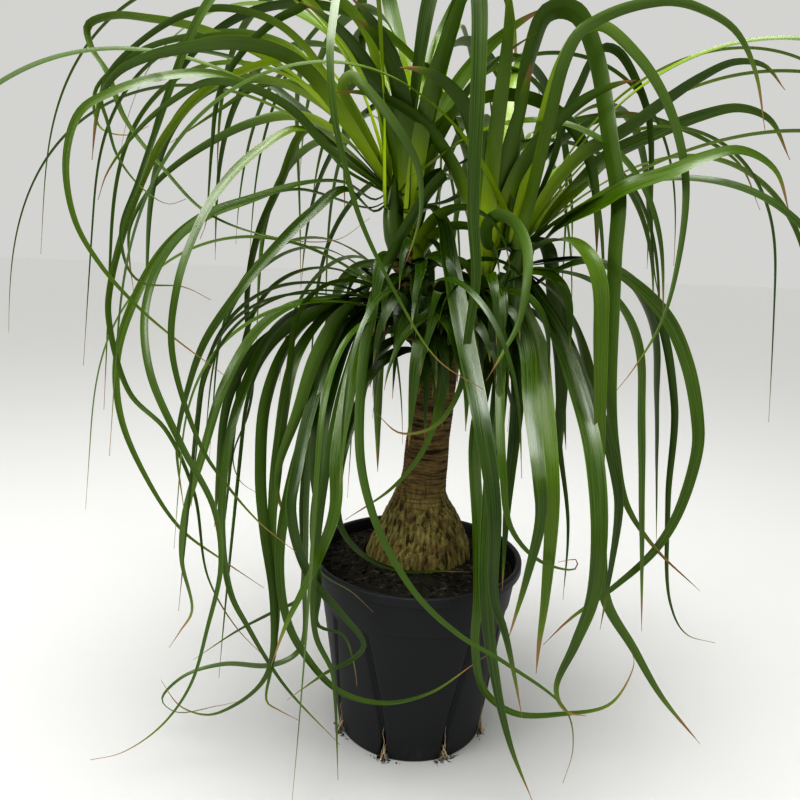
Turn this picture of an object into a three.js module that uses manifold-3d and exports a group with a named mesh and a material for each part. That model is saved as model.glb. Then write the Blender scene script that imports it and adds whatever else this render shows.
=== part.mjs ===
// A ponytail palm in its nursery pot: a swollen trunk that forks into three leafy heads.
// Millimetres, +Z up, origin at the centre of the pot's underside, the front towards -Y.

import * as THREE from 'three';
import { mergeVertices } from 'three/addons/utils/BufferGeometryUtils.js';
import Module from 'manifold-3d';

const wasm = await Module();
wasm.setup();

const TURN = 2 * Math.PI;
const DEGREE = Math.PI / 180;
const UP = new THREE.Vector3(0, 0, 1);

// Corners of fused solids lie on a grid this fine, so that none are almost but not quite the same.
const WELD = 0.01;

// Driving sizes of the pot, a 22 cm nursery pot.
const RIM_RADIUS = 108;
const BASE_RADIUS = 76.5;
const POT_HEIGHT = 189;
const POT_WALL = 2.4;
const POT_FLOOR = 3;
const LIP_HEIGHT = 9;
const LIP_OUT = 3.4;
const COLLAR_HEIGHT = 45;
const COLLAR_STEP = 1.8;
const FLUTE_COUNT = 8;
const FLUTE_TURN = -64.5 * DEGREE;
const FLUTE_DEPTH = 2.8;
const FLUTE_LEAN = 10 * DEGREE;
const FLUTE_HALF_ANGLE = 2.1 * DEGREE;
const FLUTE_BED = 1.1;
const FLUTE_STOP = 8;
const NOTCH_HEIGHT = 31;
const NOTCH_HALF_WIDTH = 5.5;
const NOTCH_REACH = 8;

// Driving sizes of the soil and the gaps between pieces.
const SOIL_EDGE_LEVEL = 177;
const SOIL_MOUND = 13;
const SOIL_CREST = SOIL_EDGE_LEVEL + SOIL_MOUND;
const SOIL_GAP = 1.2;
const HOLE_GAP = 0.8;
const JOINT_GAP = 0.3;

// The trunk's axis and radius, from the buried end of the swollen base up to the fork.
const TRUNK_ROWS = [
  { z: 143, x: 0, r: 24 }, { z: 147, x: 0, r: 40 }, { z: 158, x: 0, r: 51 }, { z: 174, x: 1, r: 55.5 },
  { z: 190, x: 1.4, r: 54 }, { z: 202, x: 2.4, r: 50.5 }, { z: 212, x: 3.5, r: 45.4 },
  { z: 223, x: 3, r: 41 }, { z: 234, x: 2.6, r: 35.9 }, { z: 244, x: 1.5, r: 30 },
  { z: 255, x: 1.2, r: 25.5 }, { z: 266, x: 3.4, r: 23.2 }, { z: 276, x: 4.7, r: 22.3 },
  { z: 308, x: 5.8, r: 21.6 }, { z: 349, x: 10.3, r: 19.9 }, { z: 399, x: 14.3, r: 18.4 },
  { z: 418, x: 15.5, r: 13 },
];
const TRUNK_TOP = 418;
const TRUNK_SIDES = 22;

// Furrows cover the swollen base, and ring scars the stem above it.
const BASE_TOP = 255;
const FURROWS_FROM = 194;
const FURROWS_TO = 242;
const RINGS_FROM = 256;
const RING_SPACING = 14;
const RING_RELIEF = 0.7;
const FURROW_RELIEF = 1.5;
const FURROWS = 9;

// The three short stems above the fork, each one ending flat under its head.
const STEMS = {
  left: { path: [[13, 0, 386], [2, 3, 430], [-14, 3, 464], [-27, 1, 492]], radii: [17, 15.5, 14.5, 13.5] },
  right: { path: [[14, 0, 384], [31, 2, 417], [50, 1, 438], [66, 0, 455]], radii: [17, 15, 14, 13.5] },
  low: { path: [[11, 0, 390], [-1, -12, 408], [-14, -24, 422]], radii: [15, 13, 18] },
};
const STEMS_BAND = [376, 506];
const STEM_SIDES = 12;
const CORE_LENGTH = { left: 74, right: 76, low: 40 };

// The blades.
const KEEL = 1.6;
const TIP_WIDTH = 1.8;
const SAMPLE = 5;
const FREE_SAMPLES = 5;
const FLOOR_REST = 1.6;

// Midribs are drawn on a sheet of 800 by 800 mm that stands 700 mm in front of the eye, and
// turned to it: x is mm to the right and y is mm down from its top left corner. How far each
// leaf comes towards the eye or goes behind the pot's axis is its depth, in mm along Y.
const EYE = new THREE.Vector3(-23.5, -684, 483);
const SHEET_DISTANCE = 700;
const SHEET_MIDDLE = 400;
const EYE_PITCH = 11.19 * DEGREE;
const EYE_ROLL = 2.29 * DEGREE;

// One row for each drawn leaf: its width, the depth that it reaches, and its midrib's x, y pairs.
const DRAWN = {
  left: [
    [13, -30, 345, 130, 300, 83, 250, 50, 197, 28, 150, 19, 112, 16, 88, 26, 92, 48, 107, 71, 125, 118,
      165, 170, 205, 211, 264, 235, 336, 240, 370, 218],
    [10, -70, 325, 75, 300, 42, 271, 20, 224, 8, 184, 15, 140, 42, 110, 72, 101, 98, 107, 120, 117, 155,
      141, 187, 168, 204, 186, 199],
    [11, 50, 325, 85, 294, 50, 250, 34, 208, 34, 154, 45, 120, 64, 95, 92, 100, 127, 127, 135, 149, 126],
    [17, -130, 327, 94, 303, 67, 270, 49, 230, 43, 192, 47, 150, 56, 118, 72, 103, 92, 96, 120, 92, 160],
    [13, 90, 333, 142, 303, 111, 269, 83, 237, 60, 189, 51, 160, 60],
    [15, -160, 341, 167, 314, 131, 270, 98, 217, 75, 165, 76, 112, 92, 80, 112, 66, 160, 75, 220,
      100, 264, 134, 303, 173, 337, 224, 375],
    [8, -100, 330, 150, 290, 108, 245, 86, 208, 82, 173, 100, 138, 130, 107, 173, 98, 200],
    [12, -40, 382, 120, 370, 40, 344, 4, 322, -6, 300, 8, 275, 21, 241, 54, 219, 94, 212, 147, 209, 187,
      206, 223, 200, 239],
    [8, 30, 350, 125, 325, 98, 303, 86, 283, 82, 257, 87, 216, 112, 170, 143],
    [16, -100, 373, 94, 350, 54, 330, 27, 307, 0, 270, -28, 235, -28, 210, 0, 192, 32, 172, 83, 157, 127,
      138, 182, 121, 231, 129, 270, 143, 283, 184, 287, 211, 300],
    [15, -60, 355, 120, 325, 74, 300, 59, 255, 67, 206, 91, 165, 137, 133, 205, 111, 283, 109, 320,
      130, 393, 166, 430, 194, 492, 208, 577, 236, 627, 268, 660],
    [10, 100, 345, 140, 300, 116, 248, 124, 184, 159, 150, 190, 130, 227, 129, 254, 134, 294],
    [15, -190, 340, 150, 300, 129, 257, 151, 221, 187, 197, 228, 177, 287, 172, 351, 201, 446, 226, 484,
      260, 523, 296, 552],
    [14, 50, 340, 145, 306, 131, 281, 183, 257, 239, 247, 304, 253, 381, 248, 414, 233, 458, 241, 482,
      257, 493],
    [15, -20, 375, 200, 344, 183, 303, 184, 250, 200, 204, 217, 165, 249, 135, 299, 117, 358, 121, 417,
      146, 477, 181, 529, 221, 559, 264, 588],
    [15, -110, 370, 208, 300, 190, 250, 200, 204, 217, 165, 255, 146, 307, 150, 371, 181, 444, 214, 508,
      221, 564, 208, 626, 190, 686, 160, 727, 121, 753, 90, 760],
    [13, -140, 375, 212, 346, 190, 310, 214, 270, 254, 234, 298, 205, 341, 189, 385, 177, 444, 184, 510],
    [13, -70, 377, 174, 370, 147, 357, 120, 342, 86, 350, 76, 364, 87, 394, 123, 416, 161, 421, 187,
      420, 217, 409, 254, 403, 268],
    [17, -230, 386, 210, 384, 107, 381, 54, 378, 0, 372, -40, 355, -52, 341, -25, 333, 20, 330, 54,
      334, 114, 342, 154, 361, 221, 394, 290, 437, 359, 484, 390],
    [16, -110, 408, 210, 411, 161, 415, 107, 421, 54, 430, 0, 445, -45, 462, -52, 474, -30, 479, 0,
      479, 54, 477, 107, 473, 210, 476, 277, 468, 335, 459, 391, 435, 426, 400, 433, 376, 413],
    [15, 160, 400, 170, 411, 94, 431, 67, 444, 33, 460, 0, 480, -30, 500, -20, 512, 20, 517, 70],
    [15, 180, 399, 150, 404, 80, 397, 40, 389, 0, 378, -40, 366, -30, 362, 20, 366, 100],
    [18, -200, 418, 215, 430, 208, 442, 222, 448, 255, 465, 340, 483, 430, 494, 510, 494, 600, 504, 630,
      512, 664, 522, 717],
    [18, -175, 415, 200, 432, 178, 446, 173, 432, 190, 404, 234, 380, 284, 366, 344, 360, 450, 370, 504,
      389, 551, 421, 600, 461, 636, 507, 664, 566, 710, 573, 748, 563, 783],
    [9, 90, 445, 203, 480, 181, 514, 154, 567, 124, 604, 116, 640, 116, 700, 137, 740, 165, 760, 210],
    [9, -80, 440, 250, 452, 320, 447, 370, 441, 403, 421, 454, 392, 488, 345, 520],
  ],
  right: [
    [17, -60, 508, 250, 514, 210, 519, 147, 524, 94, 534, 47, 545, 17, 557, 10, 566, 10, 578, 16, 594, 54,
      610, 147, 618, 200, 614, 260, 611, 400, 615, 450, 626, 504, 654, 547, 700, 591],
    [18, -140, 515, 250, 527, 210, 549, 120, 565, 60, 579, 33, 598, 20, 620, 10, 647, 3, 673, 1, 700, 8,
      735, 30, 755, 70, 765, 130],
    [16, 60, 520, 250, 534, 210, 554, 161, 567, 114, 581, 84, 591, 62, 604, 48, 618, 52, 637, 83, 649, 120,
      651, 217, 654, 270, 661, 306],
    [14, 140, 503, 250, 503, 210, 500, 174, 495, 134, 489, 92],
    [13, 100, 508, 250, 513, 170, 511, 134, 507, 100, 499, 75, 489, 58],
    [12, -40, 520, 245, 549, 193, 567, 169, 587, 151, 627, 129, 661, 104, 700, 78, 735, 62, 765, 66, 785, 90],
    [13, 20, 530, 245, 556, 210, 580, 185, 607, 157, 645, 138, 700, 116, 740, 108, 770, 120, 790, 160],
    [14, -100, 532, 250, 564, 223, 608, 198, 627, 187, 677, 169, 700, 159, 740, 150, 775, 170, 790, 215],
    [13, -90, 512, 245, 535, 150, 560, 65, 580, 32, 600, 25, 637, 55, 663, 94, 678, 134, 686, 187, 679, 257,
      662, 321, 632, 371, 616, 391],
    [15, -60, 532, 286, 554, 273, 591, 262, 624, 277, 665, 316, 687, 364, 697, 417, 697, 450, 678, 513,
      654, 551, 614, 587, 570, 619, 543, 645],
    [14, 70, 527, 240, 545, 246, 554, 310, 563, 400, 566, 450],
    [15, -120, 490, 250, 486, 228, 496, 216, 510, 219, 526, 244, 527, 280, 518, 324, 504, 351, 486, 381],
    [16, -150, 531, 292, 547, 317, 561, 344, 578, 391, 594, 457, 599, 537, 592, 600, 575, 644, 556, 690,
      567, 712, 586, 716],
    [15, -90, 535, 290, 560, 330, 586, 391, 602, 423, 618, 490, 618, 517, 607, 591, 600, 630],
    [15, -120, 520, 300, 538, 345, 544, 390, 551, 470, 552, 510, 545, 600, 539, 644, 536, 674],
    [14, -60, 508, 310, 516, 350, 518, 390, 515, 430, 507, 510, 502, 591],
    [13, -180, 515, 305, 527, 350, 531, 403, 540, 484, 541, 517, 527, 577, 508, 640],
    [8, 30, 545, 300, 556, 350, 559, 397, 558, 430, 568, 524, 563, 600],
    [9, -130, 505, 330, 500, 400, 503, 470, 511, 528, 540, 561, 575, 569, 577, 560, 558, 562],
    [12, -40, 560, 300, 585, 360, 595, 450, 600, 550, 606, 601, 633, 648, 661, 696, 700, 744],
    [9, 0, 600, 262, 650, 300, 674, 400, 668, 500, 670, 602, 686, 634, 715, 643],
    [14, -130, 500, 330, 484, 390, 475, 444, 478, 530, 478, 600, 475, 644, 484, 690, 514, 713, 561, 714,
      610, 704, 634, 664, 631, 650],
    [14, -150, 506, 330, 497, 420, 490, 500, 486, 590, 494, 670, 510, 744, 532, 800],
  ],
  low: [
    [14, -60, 362, 296, 336, 298, 293, 306, 259, 329, 225, 385, 202, 457, 184, 520, 182, 560, 192, 611,
      181, 630, 169, 648],
    [14, -20, 360, 302, 310, 316, 280, 332, 255, 365, 231, 425, 222, 470],
    [16, -150, 378, 286, 336, 304, 294, 337, 267, 400, 261, 470, 265, 530, 274, 600, 272, 661, 261, 684,
      237, 704, 208, 715, 180, 706, 161, 680],
    [15, -100, 376, 294, 341, 316, 317, 355, 297, 414, 279, 465, 277, 490, 287, 524],
    [15, -120, 380, 300, 350, 320, 325, 365, 307, 423, 297, 470, 291, 510, 309, 575, 339, 611, 364, 645,
      350, 661, 329, 671, 287, 700],
    [14, -80, 370, 310, 338, 350, 319, 410, 313, 473, 319, 521, 323, 537],
    [15, -190, 385, 300, 362, 340, 349, 390, 337, 457, 335, 510, 319, 557, 286, 625, 271, 666],
    [14, -60, 384, 260, 361, 230, 340, 203, 322, 188, 303, 199, 277, 223, 247, 267, 231, 320, 225, 374,
      225, 440, 241, 510, 263, 548],
    [10, -130, 370, 320, 330, 380, 300, 450, 280, 550, 286, 616, 303, 652, 339, 691, 384, 703, 430, 693,
      471, 666, 487, 655],
    [9, -62, 385, 330, 360, 400, 340, 470, 341, 527, 366, 557, 403, 571, 437, 571, 470, 572],
    [8, -95, 375, 330, 345, 400, 318, 480, 312, 540, 320, 571, 353, 593, 373, 612],
    [9, -115, 365, 320, 330, 400, 318, 500, 319, 595, 318, 625, 343, 635, 354, 664, 357, 686],
    [9, -140, 372, 310, 345, 380, 325, 480, 314, 580, 316, 636, 332, 671, 335, 696, 338, 780],
    [9, -60, 355, 310, 320, 380, 308, 480, 305, 580, 300, 649, 272, 665, 224, 664, 184, 676, 162, 700,
      176, 712, 217, 706, 241, 701],
    [9, -20, 350, 310, 315, 400, 303, 500, 299, 598, 277, 610, 237, 631, 193, 660],
    [10, -90, 345, 300, 285, 320, 240, 400, 222, 500, 230, 590, 248, 627, 285, 686, 340, 745],
    [11, -70, 352, 300, 300, 350, 278, 450, 272, 530, 275, 590, 277, 617, 271, 668, 267, 702, 277, 709,
      300, 721],
  ],
};

// Leaves placed by a rule round each head. first and last are the compass sweep that they fill,
// counted from +X towards +Y; launch is how steeply they leave the head, and span their length.
const SPREAD = {
  left: [{ count: 15, first: 10, last: 216, launch: [34, 72], span: [470, 720], width: 15 }],
  right: [{ count: 16, first: -30, last: 176, launch: [32, 72], span: [470, 700], width: 15 }],
  low: [
    { count: 9, first: 85, last: 215, launch: [8, 40], span: [330, 560], width: 14 },
    { count: 3, first: 235, last: 325, launch: [16, 46], span: [170, 300], width: 13 },
  ],
};

const COLOURS = {
  pot: [0x2c2e31, 0.55], soil: [0x1d1712, 0.95], trunk: [0x6b5436, 0.9], root: [0xcdb992, 0.75],
  leaf: [0x3c6b22, 0.42],
};

function smooth(t) {
  const held = Math.min(1, Math.max(0, t));
  return held * held * (3 - 2 * held);
}

function mix(a, b, t) {
  return a + (b - a) * t;
}

// A seeded row of even draws from 0 to 1.
function draws(seed) {
  let state = seed;
  return () => {
    state = (state * 1664525 + 1013904223) % 4294967296;
    return state / 4294967296;
  };
}

// Value of one column of a list of rows at a height z, straight between the rows.
function along(rows, key, z) {
  if (z <= rows[0].z) return rows[0][key];
  for (let i = 1; i < rows.length; i += 1) {
    if (z <= rows[i].z) {
      return mix(rows[i - 1][key], rows[i][key], (z - rows[i - 1].z) / (rows[i].z - rows[i - 1].z));
    }
  }
  return rows[rows.length - 1][key];
}

// A closed skin over rings of equally many points, with a fan over each end.
// Every side is split the same way, from the earlier corner of one ring to the later of the next.
function skin(rings) {
  const sides = rings[0].length;
  const points = rings.flat();
  const triangles = [];
  for (let i = 0; i + 1 < rings.length; i += 1) {
    for (let j = 0; j < sides; j += 1) {
      const k = (j + 1) % sides;
      const [a, b] = [i * sides + j, i * sides + k];
      const [c, d] = [a + sides, b + sides];
      if (k > j) triangles.push(a, b, d, a, d, c);
      else triangles.push(a, b, c, b, d, c);
    }
  }
  const ends = [[rings[0], 0, -1], [rings[rings.length - 1], (rings.length - 1) * sides, 1]];
  for (const [ring, start, facing] of ends) {
    const middle = ring.reduce((sum, p) => sum.add(p), new THREE.Vector3()).divideScalar(sides);
    const hub = points.push(middle) - 1;
    for (let j = 0; j < sides; j += 1) {
      const pair = [start + j, start + ((j + 1) % sides)];
      if (facing < 0) pair.reverse();
      triangles.push(pair[0], pair[1], hub);
    }
  }
  const geometry = new THREE.BufferGeometry();
  geometry.setAttribute('position', new THREE.Float32BufferAttribute(points.flatMap((p) => p.toArray()), 3));
  geometry.setIndex(triangles);
  return geometry;
}

function toSolid(geometry) {
  const bare = geometry.clone();
  bare.deleteAttribute('normal');
  bare.deleteAttribute('uv');
  const merged = mergeVertices(bare, WELD / 4);
  return new wasm.Manifold(new wasm.Mesh({
    numProp: 3,
    vertProperties: new Float32Array(merged.attributes.position.array),
    triVerts: new Uint32Array(merged.index.array),
  }));
}

function fromSolid(solid) {
  const mesh = solid.getMesh();
  const geometry = new THREE.BufferGeometry();
  geometry.setAttribute('position', new THREE.Float32BufferAttribute(mesh.vertProperties, 3));
  geometry.setIndex(Array.from(mesh.triVerts));
  return geometry;
}

// The outermost shell of a fused solid. Small hollows that the fusing sealed are filled so.
function outerShell(solid) {
  const { vertProperties, triVerts, numProp } = solid.getMesh();
  const parent = Array.from({ length: vertProperties.length / numProp }, (_, i) => i);
  const top = (i) => {
    let at = i;
    while (parent[at] !== at) at = parent[at];
    parent[i] = at;
    return at;
  };
  for (let t = 0; t < triVerts.length; t += 3) {
    parent[top(triVerts[t])] = top(triVerts[t + 1]);
    parent[top(triVerts[t + 1])] = top(triVerts[t + 2]);
  }
  const shells = new Map();
  for (let t = 0; t < triVerts.length; t += 3) {
    const key = top(triVerts[t]);
    if (!shells.has(key)) shells.set(key, []);
    shells.get(key).push(triVerts[t], triVerts[t + 1], triVerts[t + 2]);
  }
  const largest = [...shells.values()].reduce((a, b) => (b.length > a.length ? b : a));
  const geometry = new THREE.BufferGeometry();
  const snapped = Array.from(vertProperties, (v) => Math.round(v / WELD) * WELD);
  geometry.setAttribute('position', new THREE.Float32BufferAttribute(snapped, 3));
  geometry.setIndex(largest);
  return geometry;
}

// Joins solids two by two, so that no join gets much bigger than it has to be.
function fuse(solids) {
  let row = solids;
  while (row.length > 1) {
    const next = [];
    for (let i = 0; i < row.length; i += 2) {
      next.push(i + 1 < row.length ? row[i].add(row[i + 1]) : row[i]);
    }
    row = next;
  }
  return row[0];
}

function mesh(name, geometry, [colour, roughness]) {
  const flat = geometry.index ? geometry.toNonIndexed() : geometry;
  flat.computeVertexNormals();
  const material = new THREE.MeshStandardMaterial({ color: colour, roughness, metalness: 0 });
  const made = new THREE.Mesh(flat, material);
  made.name = name;
  return made;
}

// The direction of a path at one of its points, from the point before it to the point after.
function wayAt(points, i) {
  const after = points[Math.min(i + 1, points.length - 1)];
  return after.clone().sub(points[Math.max(i - 1, 0)]).normalize();
}

// Radius of the pot's outer face below the lip.
function potRadius(z) {
  const collar = POT_HEIGHT - COLLAR_HEIGHT;
  const slope = (RIM_RADIUS - LIP_OUT - COLLAR_STEP - BASE_RADIUS) / POT_HEIGHT;
  return BASE_RADIUS + slope * z + (z > collar ? COLLAR_STEP : 0);
}

// Bearings of the pot's corners: a few between the flutes, and both edges of each flute and its bed.
function potBearings() {
  const edge = FLUTE_HALF_ANGLE / DEGREE;
  const offsets = [-22.5, -17, -11, -6, -edge, -FLUTE_BED, FLUTE_BED, edge, 6, 11, 17];
  const bearings = [];
  for (let k = 0; k < FLUTE_COUNT; k += 1) {
    const flute = FLUTE_TURN + (k * TURN) / FLUTE_COUNT;
    for (const offset of offsets) bearings.push({ turn: flute + offset * DEGREE, offset });
  }
  return bearings;
}

// How far a bearing turns at a height: above the notches, the flutes lean together in pairs.
function lean(z, turn) {
  const top = POT_HEIGHT - COLLAR_HEIGHT - FLUTE_STOP;
  const share = Math.min(1, Math.max(0, (z - NOTCH_HEIGHT) / (top - NOTCH_HEIGHT)));
  return share * FLUTE_LEAN * Math.cos((FLUTE_COUNT / 2) * (turn - FLUTE_TURN));
}

function potRing(z, radius, flute) {
  return potBearings().map(({ turn, offset }) => {
    const r = radius - (Math.abs(offset) <= FLUTE_BED ? flute * FLUTE_DEPTH : 0);
    const bearing = turn + lean(z, turn);
    return new THREE.Vector3(r * Math.cos(bearing), r * Math.sin(bearing), z);
  });
}

// A wedge that opens one drainage notch, from the pot's edge up to a point.
function notchSolid(turn) {
  const out = new THREE.Vector3(Math.cos(turn), Math.sin(turn), 0);
  const across = new THREE.Vector3(-out.y, out.x, 0);
  const ring = (r) => [[-NOTCH_HALF_WIDTH, -1], [NOTCH_HALF_WIDTH, -1], [0, NOTCH_HEIGHT]].map(
    ([a, z]) => out.clone().multiplyScalar(r).addScaledVector(across, a).addScaledVector(UP, z),
  );
  return toSolid(skin([ring(BASE_RADIUS - NOTCH_REACH), ring(BASE_RADIUS + NOTCH_REACH)]));
}

function pot() {
  const collar = POT_HEIGHT - COLLAR_HEIGHT;
  const bedTop = collar - FLUTE_STOP;
  const lip = POT_HEIGHT - LIP_HEIGHT;
  const outer = [
    [0, potRadius(0) - 1, 0], [1.5, potRadius(1.5), 1], [NOTCH_HEIGHT, potRadius(NOTCH_HEIGHT), 1],
    [bedTop, potRadius(bedTop), 1], [collar, potRadius(collar), 0],
    [collar + 2.5, potRadius(collar + 2.5), 0], [lip - 1.5, potRadius(lip), 0], [lip, RIM_RADIUS, 0],
    [POT_HEIGHT - 1.5, RIM_RADIUS, 0], [POT_HEIGHT, RIM_RADIUS - 1.2, 0],
  ];
  const inner = [
    [POT_HEIGHT, potRadius(POT_HEIGHT) - POT_WALL, 0], [collar + 3, potRadius(collar + 3) - POT_WALL, 0],
    [collar - 1, potRadius(collar - 1) - POT_WALL, 0], [bedTop, potRadius(bedTop) - POT_WALL, 1],
    [NOTCH_HEIGHT, potRadius(NOTCH_HEIGHT) - POT_WALL, 1], [POT_FLOOR, potRadius(POT_FLOOR) - POT_WALL, 1],
  ];
  let solid = toSolid(skin([...outer, ...inner].map((row) => potRing(...row))));
  for (let k = 0; k < FLUTE_COUNT; k += 1) {
    solid = solid.subtract(notchSolid(FLUTE_TURN + (k * TURN) / FLUTE_COUNT));
  }
  return fromSolid(solid);
}

// Height of the soil at a distance from the trunk: level at the pot's edge, mounded at the trunk.
function soilLevel(r) {
  return SOIL_EDGE_LEVEL + SOIL_MOUND * smooth((92 - r) / 36);
}

function soil() {
  const sides = 36;
  const collar = POT_HEIGHT - COLLAR_HEIGHT;
  const draw = draws(11);
  const ring = (z, radius, x = 0, crumbs = 0) => Array.from({ length: sides }, (_, j) => {
    const turn = (j * TURN) / sides;
    const height = z + crumbs * (draw() - 0.5);
    return new THREE.Vector3(x + radius * Math.cos(turn), radius * Math.sin(turn), height);
  });
  const wall = (z, pressed) => ring(z, potRadius(z) - POT_WALL - SOIL_GAP - pressed);
  const rings = [wall(POT_FLOOR + 0.4, FLUTE_DEPTH), wall(collar - 10, FLUTE_DEPTH), wall(collar - 1, 0.4),
    wall(collar + 5, 0), wall(SOIL_EDGE_LEVEL - 1, 0)];
  for (const r of [90, 82, 74, 66, 60]) rings.push(ring(soilLevel(r), r, 0.4, 2.6));
  for (const row of TRUNK_ROWS.slice(0, 5).reverse()) {
    rings.push(ring(row.z === SOIL_CREST ? soilLevel(row.r) : row.z, row.r + HOLE_GAP, row.x));
  }
  rings.push(ring(TRUNK_ROWS[0].z - HOLE_GAP, TRUNK_ROWS[0].r, 0));
  return skin(rings);
}

// Bark relief at a height and bearing: ring scars above, slanting furrows on the swollen base.
function bark(z, turn) {
  const wobble = 1.5 * Math.sin(turn);
  const rings = RING_RELIEF * Math.sin((z / RING_SPACING) * TURN + wobble) * smooth((z - RINGS_FROM) / 20);
  const furrows = FURROW_RELIEF * Math.sin(FURROWS * turn + z / 11 + 2 * Math.sin(2 * turn));
  return rings + furrows * smooth((z - FURROWS_FROM) / 14) * (1 - smooth((z - FURROWS_TO) / 30));
}

function trunkRing(z) {
  const x = along(TRUNK_ROWS, 'x', z);
  const r = along(TRUNK_ROWS, 'r', z);
  return Array.from({ length: TRUNK_SIDES }, (_, j) => {
    const turn = (j * TURN) / TRUNK_SIDES;
    const out = r + bark(z, turn);
    return new THREE.Vector3(x + out * Math.cos(turn), out * Math.sin(turn), z);
  });
}

// A round stem through points, each with its radius, its ends square to it.
function stemRings(path, radii, sides) {
  const points = path.map((p) => new THREE.Vector3(...p));
  return points.map((point, i) => {
    const way = wayAt(points, i);
    const side = new THREE.Vector3(0, 1, 0).cross(way).normalize();
    const front = way.clone().cross(side);
    return Array.from({ length: sides }, (_, j) => {
      const turn = (j * TURN) / sides;
      return point.clone().addScaledVector(side, radii[i] * Math.cos(turn))
        .addScaledVector(front, radii[i] * Math.sin(turn));
    });
  });
}

function trunk() {
  const heights = TRUNK_ROWS.filter((row) => row.z <= BASE_TOP).map((row) => row.z);
  const step = RING_SPACING / 3;
  for (let z = BASE_TOP + step; z < TRUNK_TOP - 4; z += step) heights.push(z);
  heights.push(TRUNK_TOP);
  let solid = toSolid(skin(heights.map(trunkRing)));
  for (const { path, radii } of Object.values(STEMS)) {
    solid = solid.add(toSolid(skin(stemRings(path, radii, STEM_SIDES))));
  }
  return fromSolid(solid);
}

// Where a head's core starts, which way it points and how long it is.
function coreOf(head) {
  const { path, radii } = STEMS[head];
  const end = new THREE.Vector3(...path[path.length - 1]);
  const way = end.clone().sub(new THREE.Vector3(...path[path.length - 2])).normalize();
  const start = end.clone().addScaledVector(way, JOINT_GAP);
  return { start, way, radius: radii[radii.length - 1], length: CORE_LENGTH[head] };
}

// The packed leaf bases at a head's middle: a blunt cone that bends upright.
function coreRow(core, t) {
  const upright = core.way.clone().lerp(UP, 0.75 * t).normalize();
  return core.start.clone().addScaledVector(upright, t * core.length);
}

function coreSolid(core) {
  const rows = [0, 0.2, 0.45, 0.7, 1];
  const fade = [1, 1.06, 0.86, 0.6, 0.25];
  const path = rows.map((t) => coreRow(core, t).toArray());
  path[1] = core.start.clone().addScaledVector(core.way, 0.2 * core.length).toArray();
  return toSolid(skin(stemRings(path, fade.map((f) => f * core.radius), 9)));
}

// The direction from the eye through a place on the drawing sheet, for one mm along Y.
function sight(x, y) {
  const [a, b] = [x - SHEET_MIDDLE, y - SHEET_MIDDLE];
  const right = a * Math.cos(EYE_ROLL) + b * Math.sin(EYE_ROLL);
  const down = b * Math.cos(EYE_ROLL) - a * Math.sin(EYE_ROLL);
  const ahead = SHEET_DISTANCE * Math.cos(EYE_PITCH) - down * Math.sin(EYE_PITCH);
  const lift = -SHEET_DISTANCE * Math.sin(EYE_PITCH) - down * Math.cos(EYE_PITCH);
  return new THREE.Vector3(right / ahead, 1, lift / ahead);
}

function atDepth(direction, depth) {
  return EYE.clone().addScaledVector(direction, depth - EYE.y);
}

// The same number of mm apart all along a smooth curve through the given points.
function evenly(points) {
  const curve = new THREE.CatmullRomCurve3(points, false, 'centripetal');
  const fine = curve.getPoints((points.length - 1) * 16);
  const lengths = [0];
  for (let i = 1; i < fine.length; i += 1) lengths.push(lengths[i - 1] + fine[i].distanceTo(fine[i - 1]));
  const total = lengths[lengths.length - 1];
  const count = Math.round(total / SAMPLE);
  const even = [];
  let k = 1;
  for (let i = 0; i <= count; i += 1) {
    const reach = (total * i) / count;
    while (k < fine.length - 1 && lengths[k] < reach) k += 1;
    even.push(fine[k - 1].clone().lerp(fine[k], (reach - lengths[k - 1]) / (lengths[k] - lengths[k - 1])));
  }
  return even;
}

function segmentDistance(point, from, to) {
  const span = to.clone().sub(from);
  const share = Math.min(1, Math.max(0, point.clone().sub(from).dot(span) / span.lengthSq()));
  return point.distanceTo(from.clone().addScaledVector(span, share));
}

// True where a point is nearer to one of the three stems than margin.
function nearStem(point, margin) {
  return Object.values(STEMS).some(({ path, radii }) => path.slice(1).some((to, i) => {
    const distance = segmentDistance(point, new THREE.Vector3(...path[i]), new THREE.Vector3(...to));
    return distance < radii[i] + margin;
  }));
}

// True where a point is in the pot, the soil, the trunk or the floor, or nearer to one than margin.
function blocked(point, margin) {
  if (point.z < FLOOR_REST) return true;
  const r = Math.hypot(point.x, point.y);
  const proud = point.z < 20 ? 10 : 4;
  if (point.z < POT_HEIGHT + margin && r < Math.min(potRadius(point.z) + proud, RIM_RADIUS) + margin) {
    if (r > RIM_RADIUS - 12 || point.z < soilLevel(r) + 3) return true;
  }
  if (point.z > TRUNK_ROWS[0].z && point.z < TRUNK_ROWS[TRUNK_ROWS.length - 1].z) {
    const x = along(TRUNK_ROWS, 'x', point.z);
    if (Math.hypot(point.x - x, point.y) < along(TRUNK_ROWS, 'r', point.z) + 1.5 + margin) return true;
  }
  return point.z > STEMS_BAND[0] && point.z < STEMS_BAND[1] && nearStem(point, margin);
}

// Slides the blocked parts of a drawn leaf towards the eye, and eases its depth on both sides.
function slideClear(points, width) {
  const directions = points.map((p) => p.clone().sub(EYE).divideScalar(p.y - EYE.y));
  const last = points.length - 1;
  const free = points.map((p, i) => {
    const margin = 0.5 * bladeWidth(width, i / last) + 1.5;
    let depth = p.y;
    if (i > FREE_SAMPLES) while (depth > -330 && blocked(atDepth(directions[i], depth), margin)) depth -= 2;
    return depth;
  });
  let depths = [...free];
  for (let pass = 0; pass < 40; pass += 1) {
    depths = depths.map((d, i) => {
      if (i === 0 || i === last) return Math.min(d, free[i]);
      return Math.min(free[i], (depths[i - 1] + 2 * d + depths[i + 1]) / 4);
    });
  }
  return depths.map((depth, i) => atDepth(directions[i], depth));
}

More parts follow.
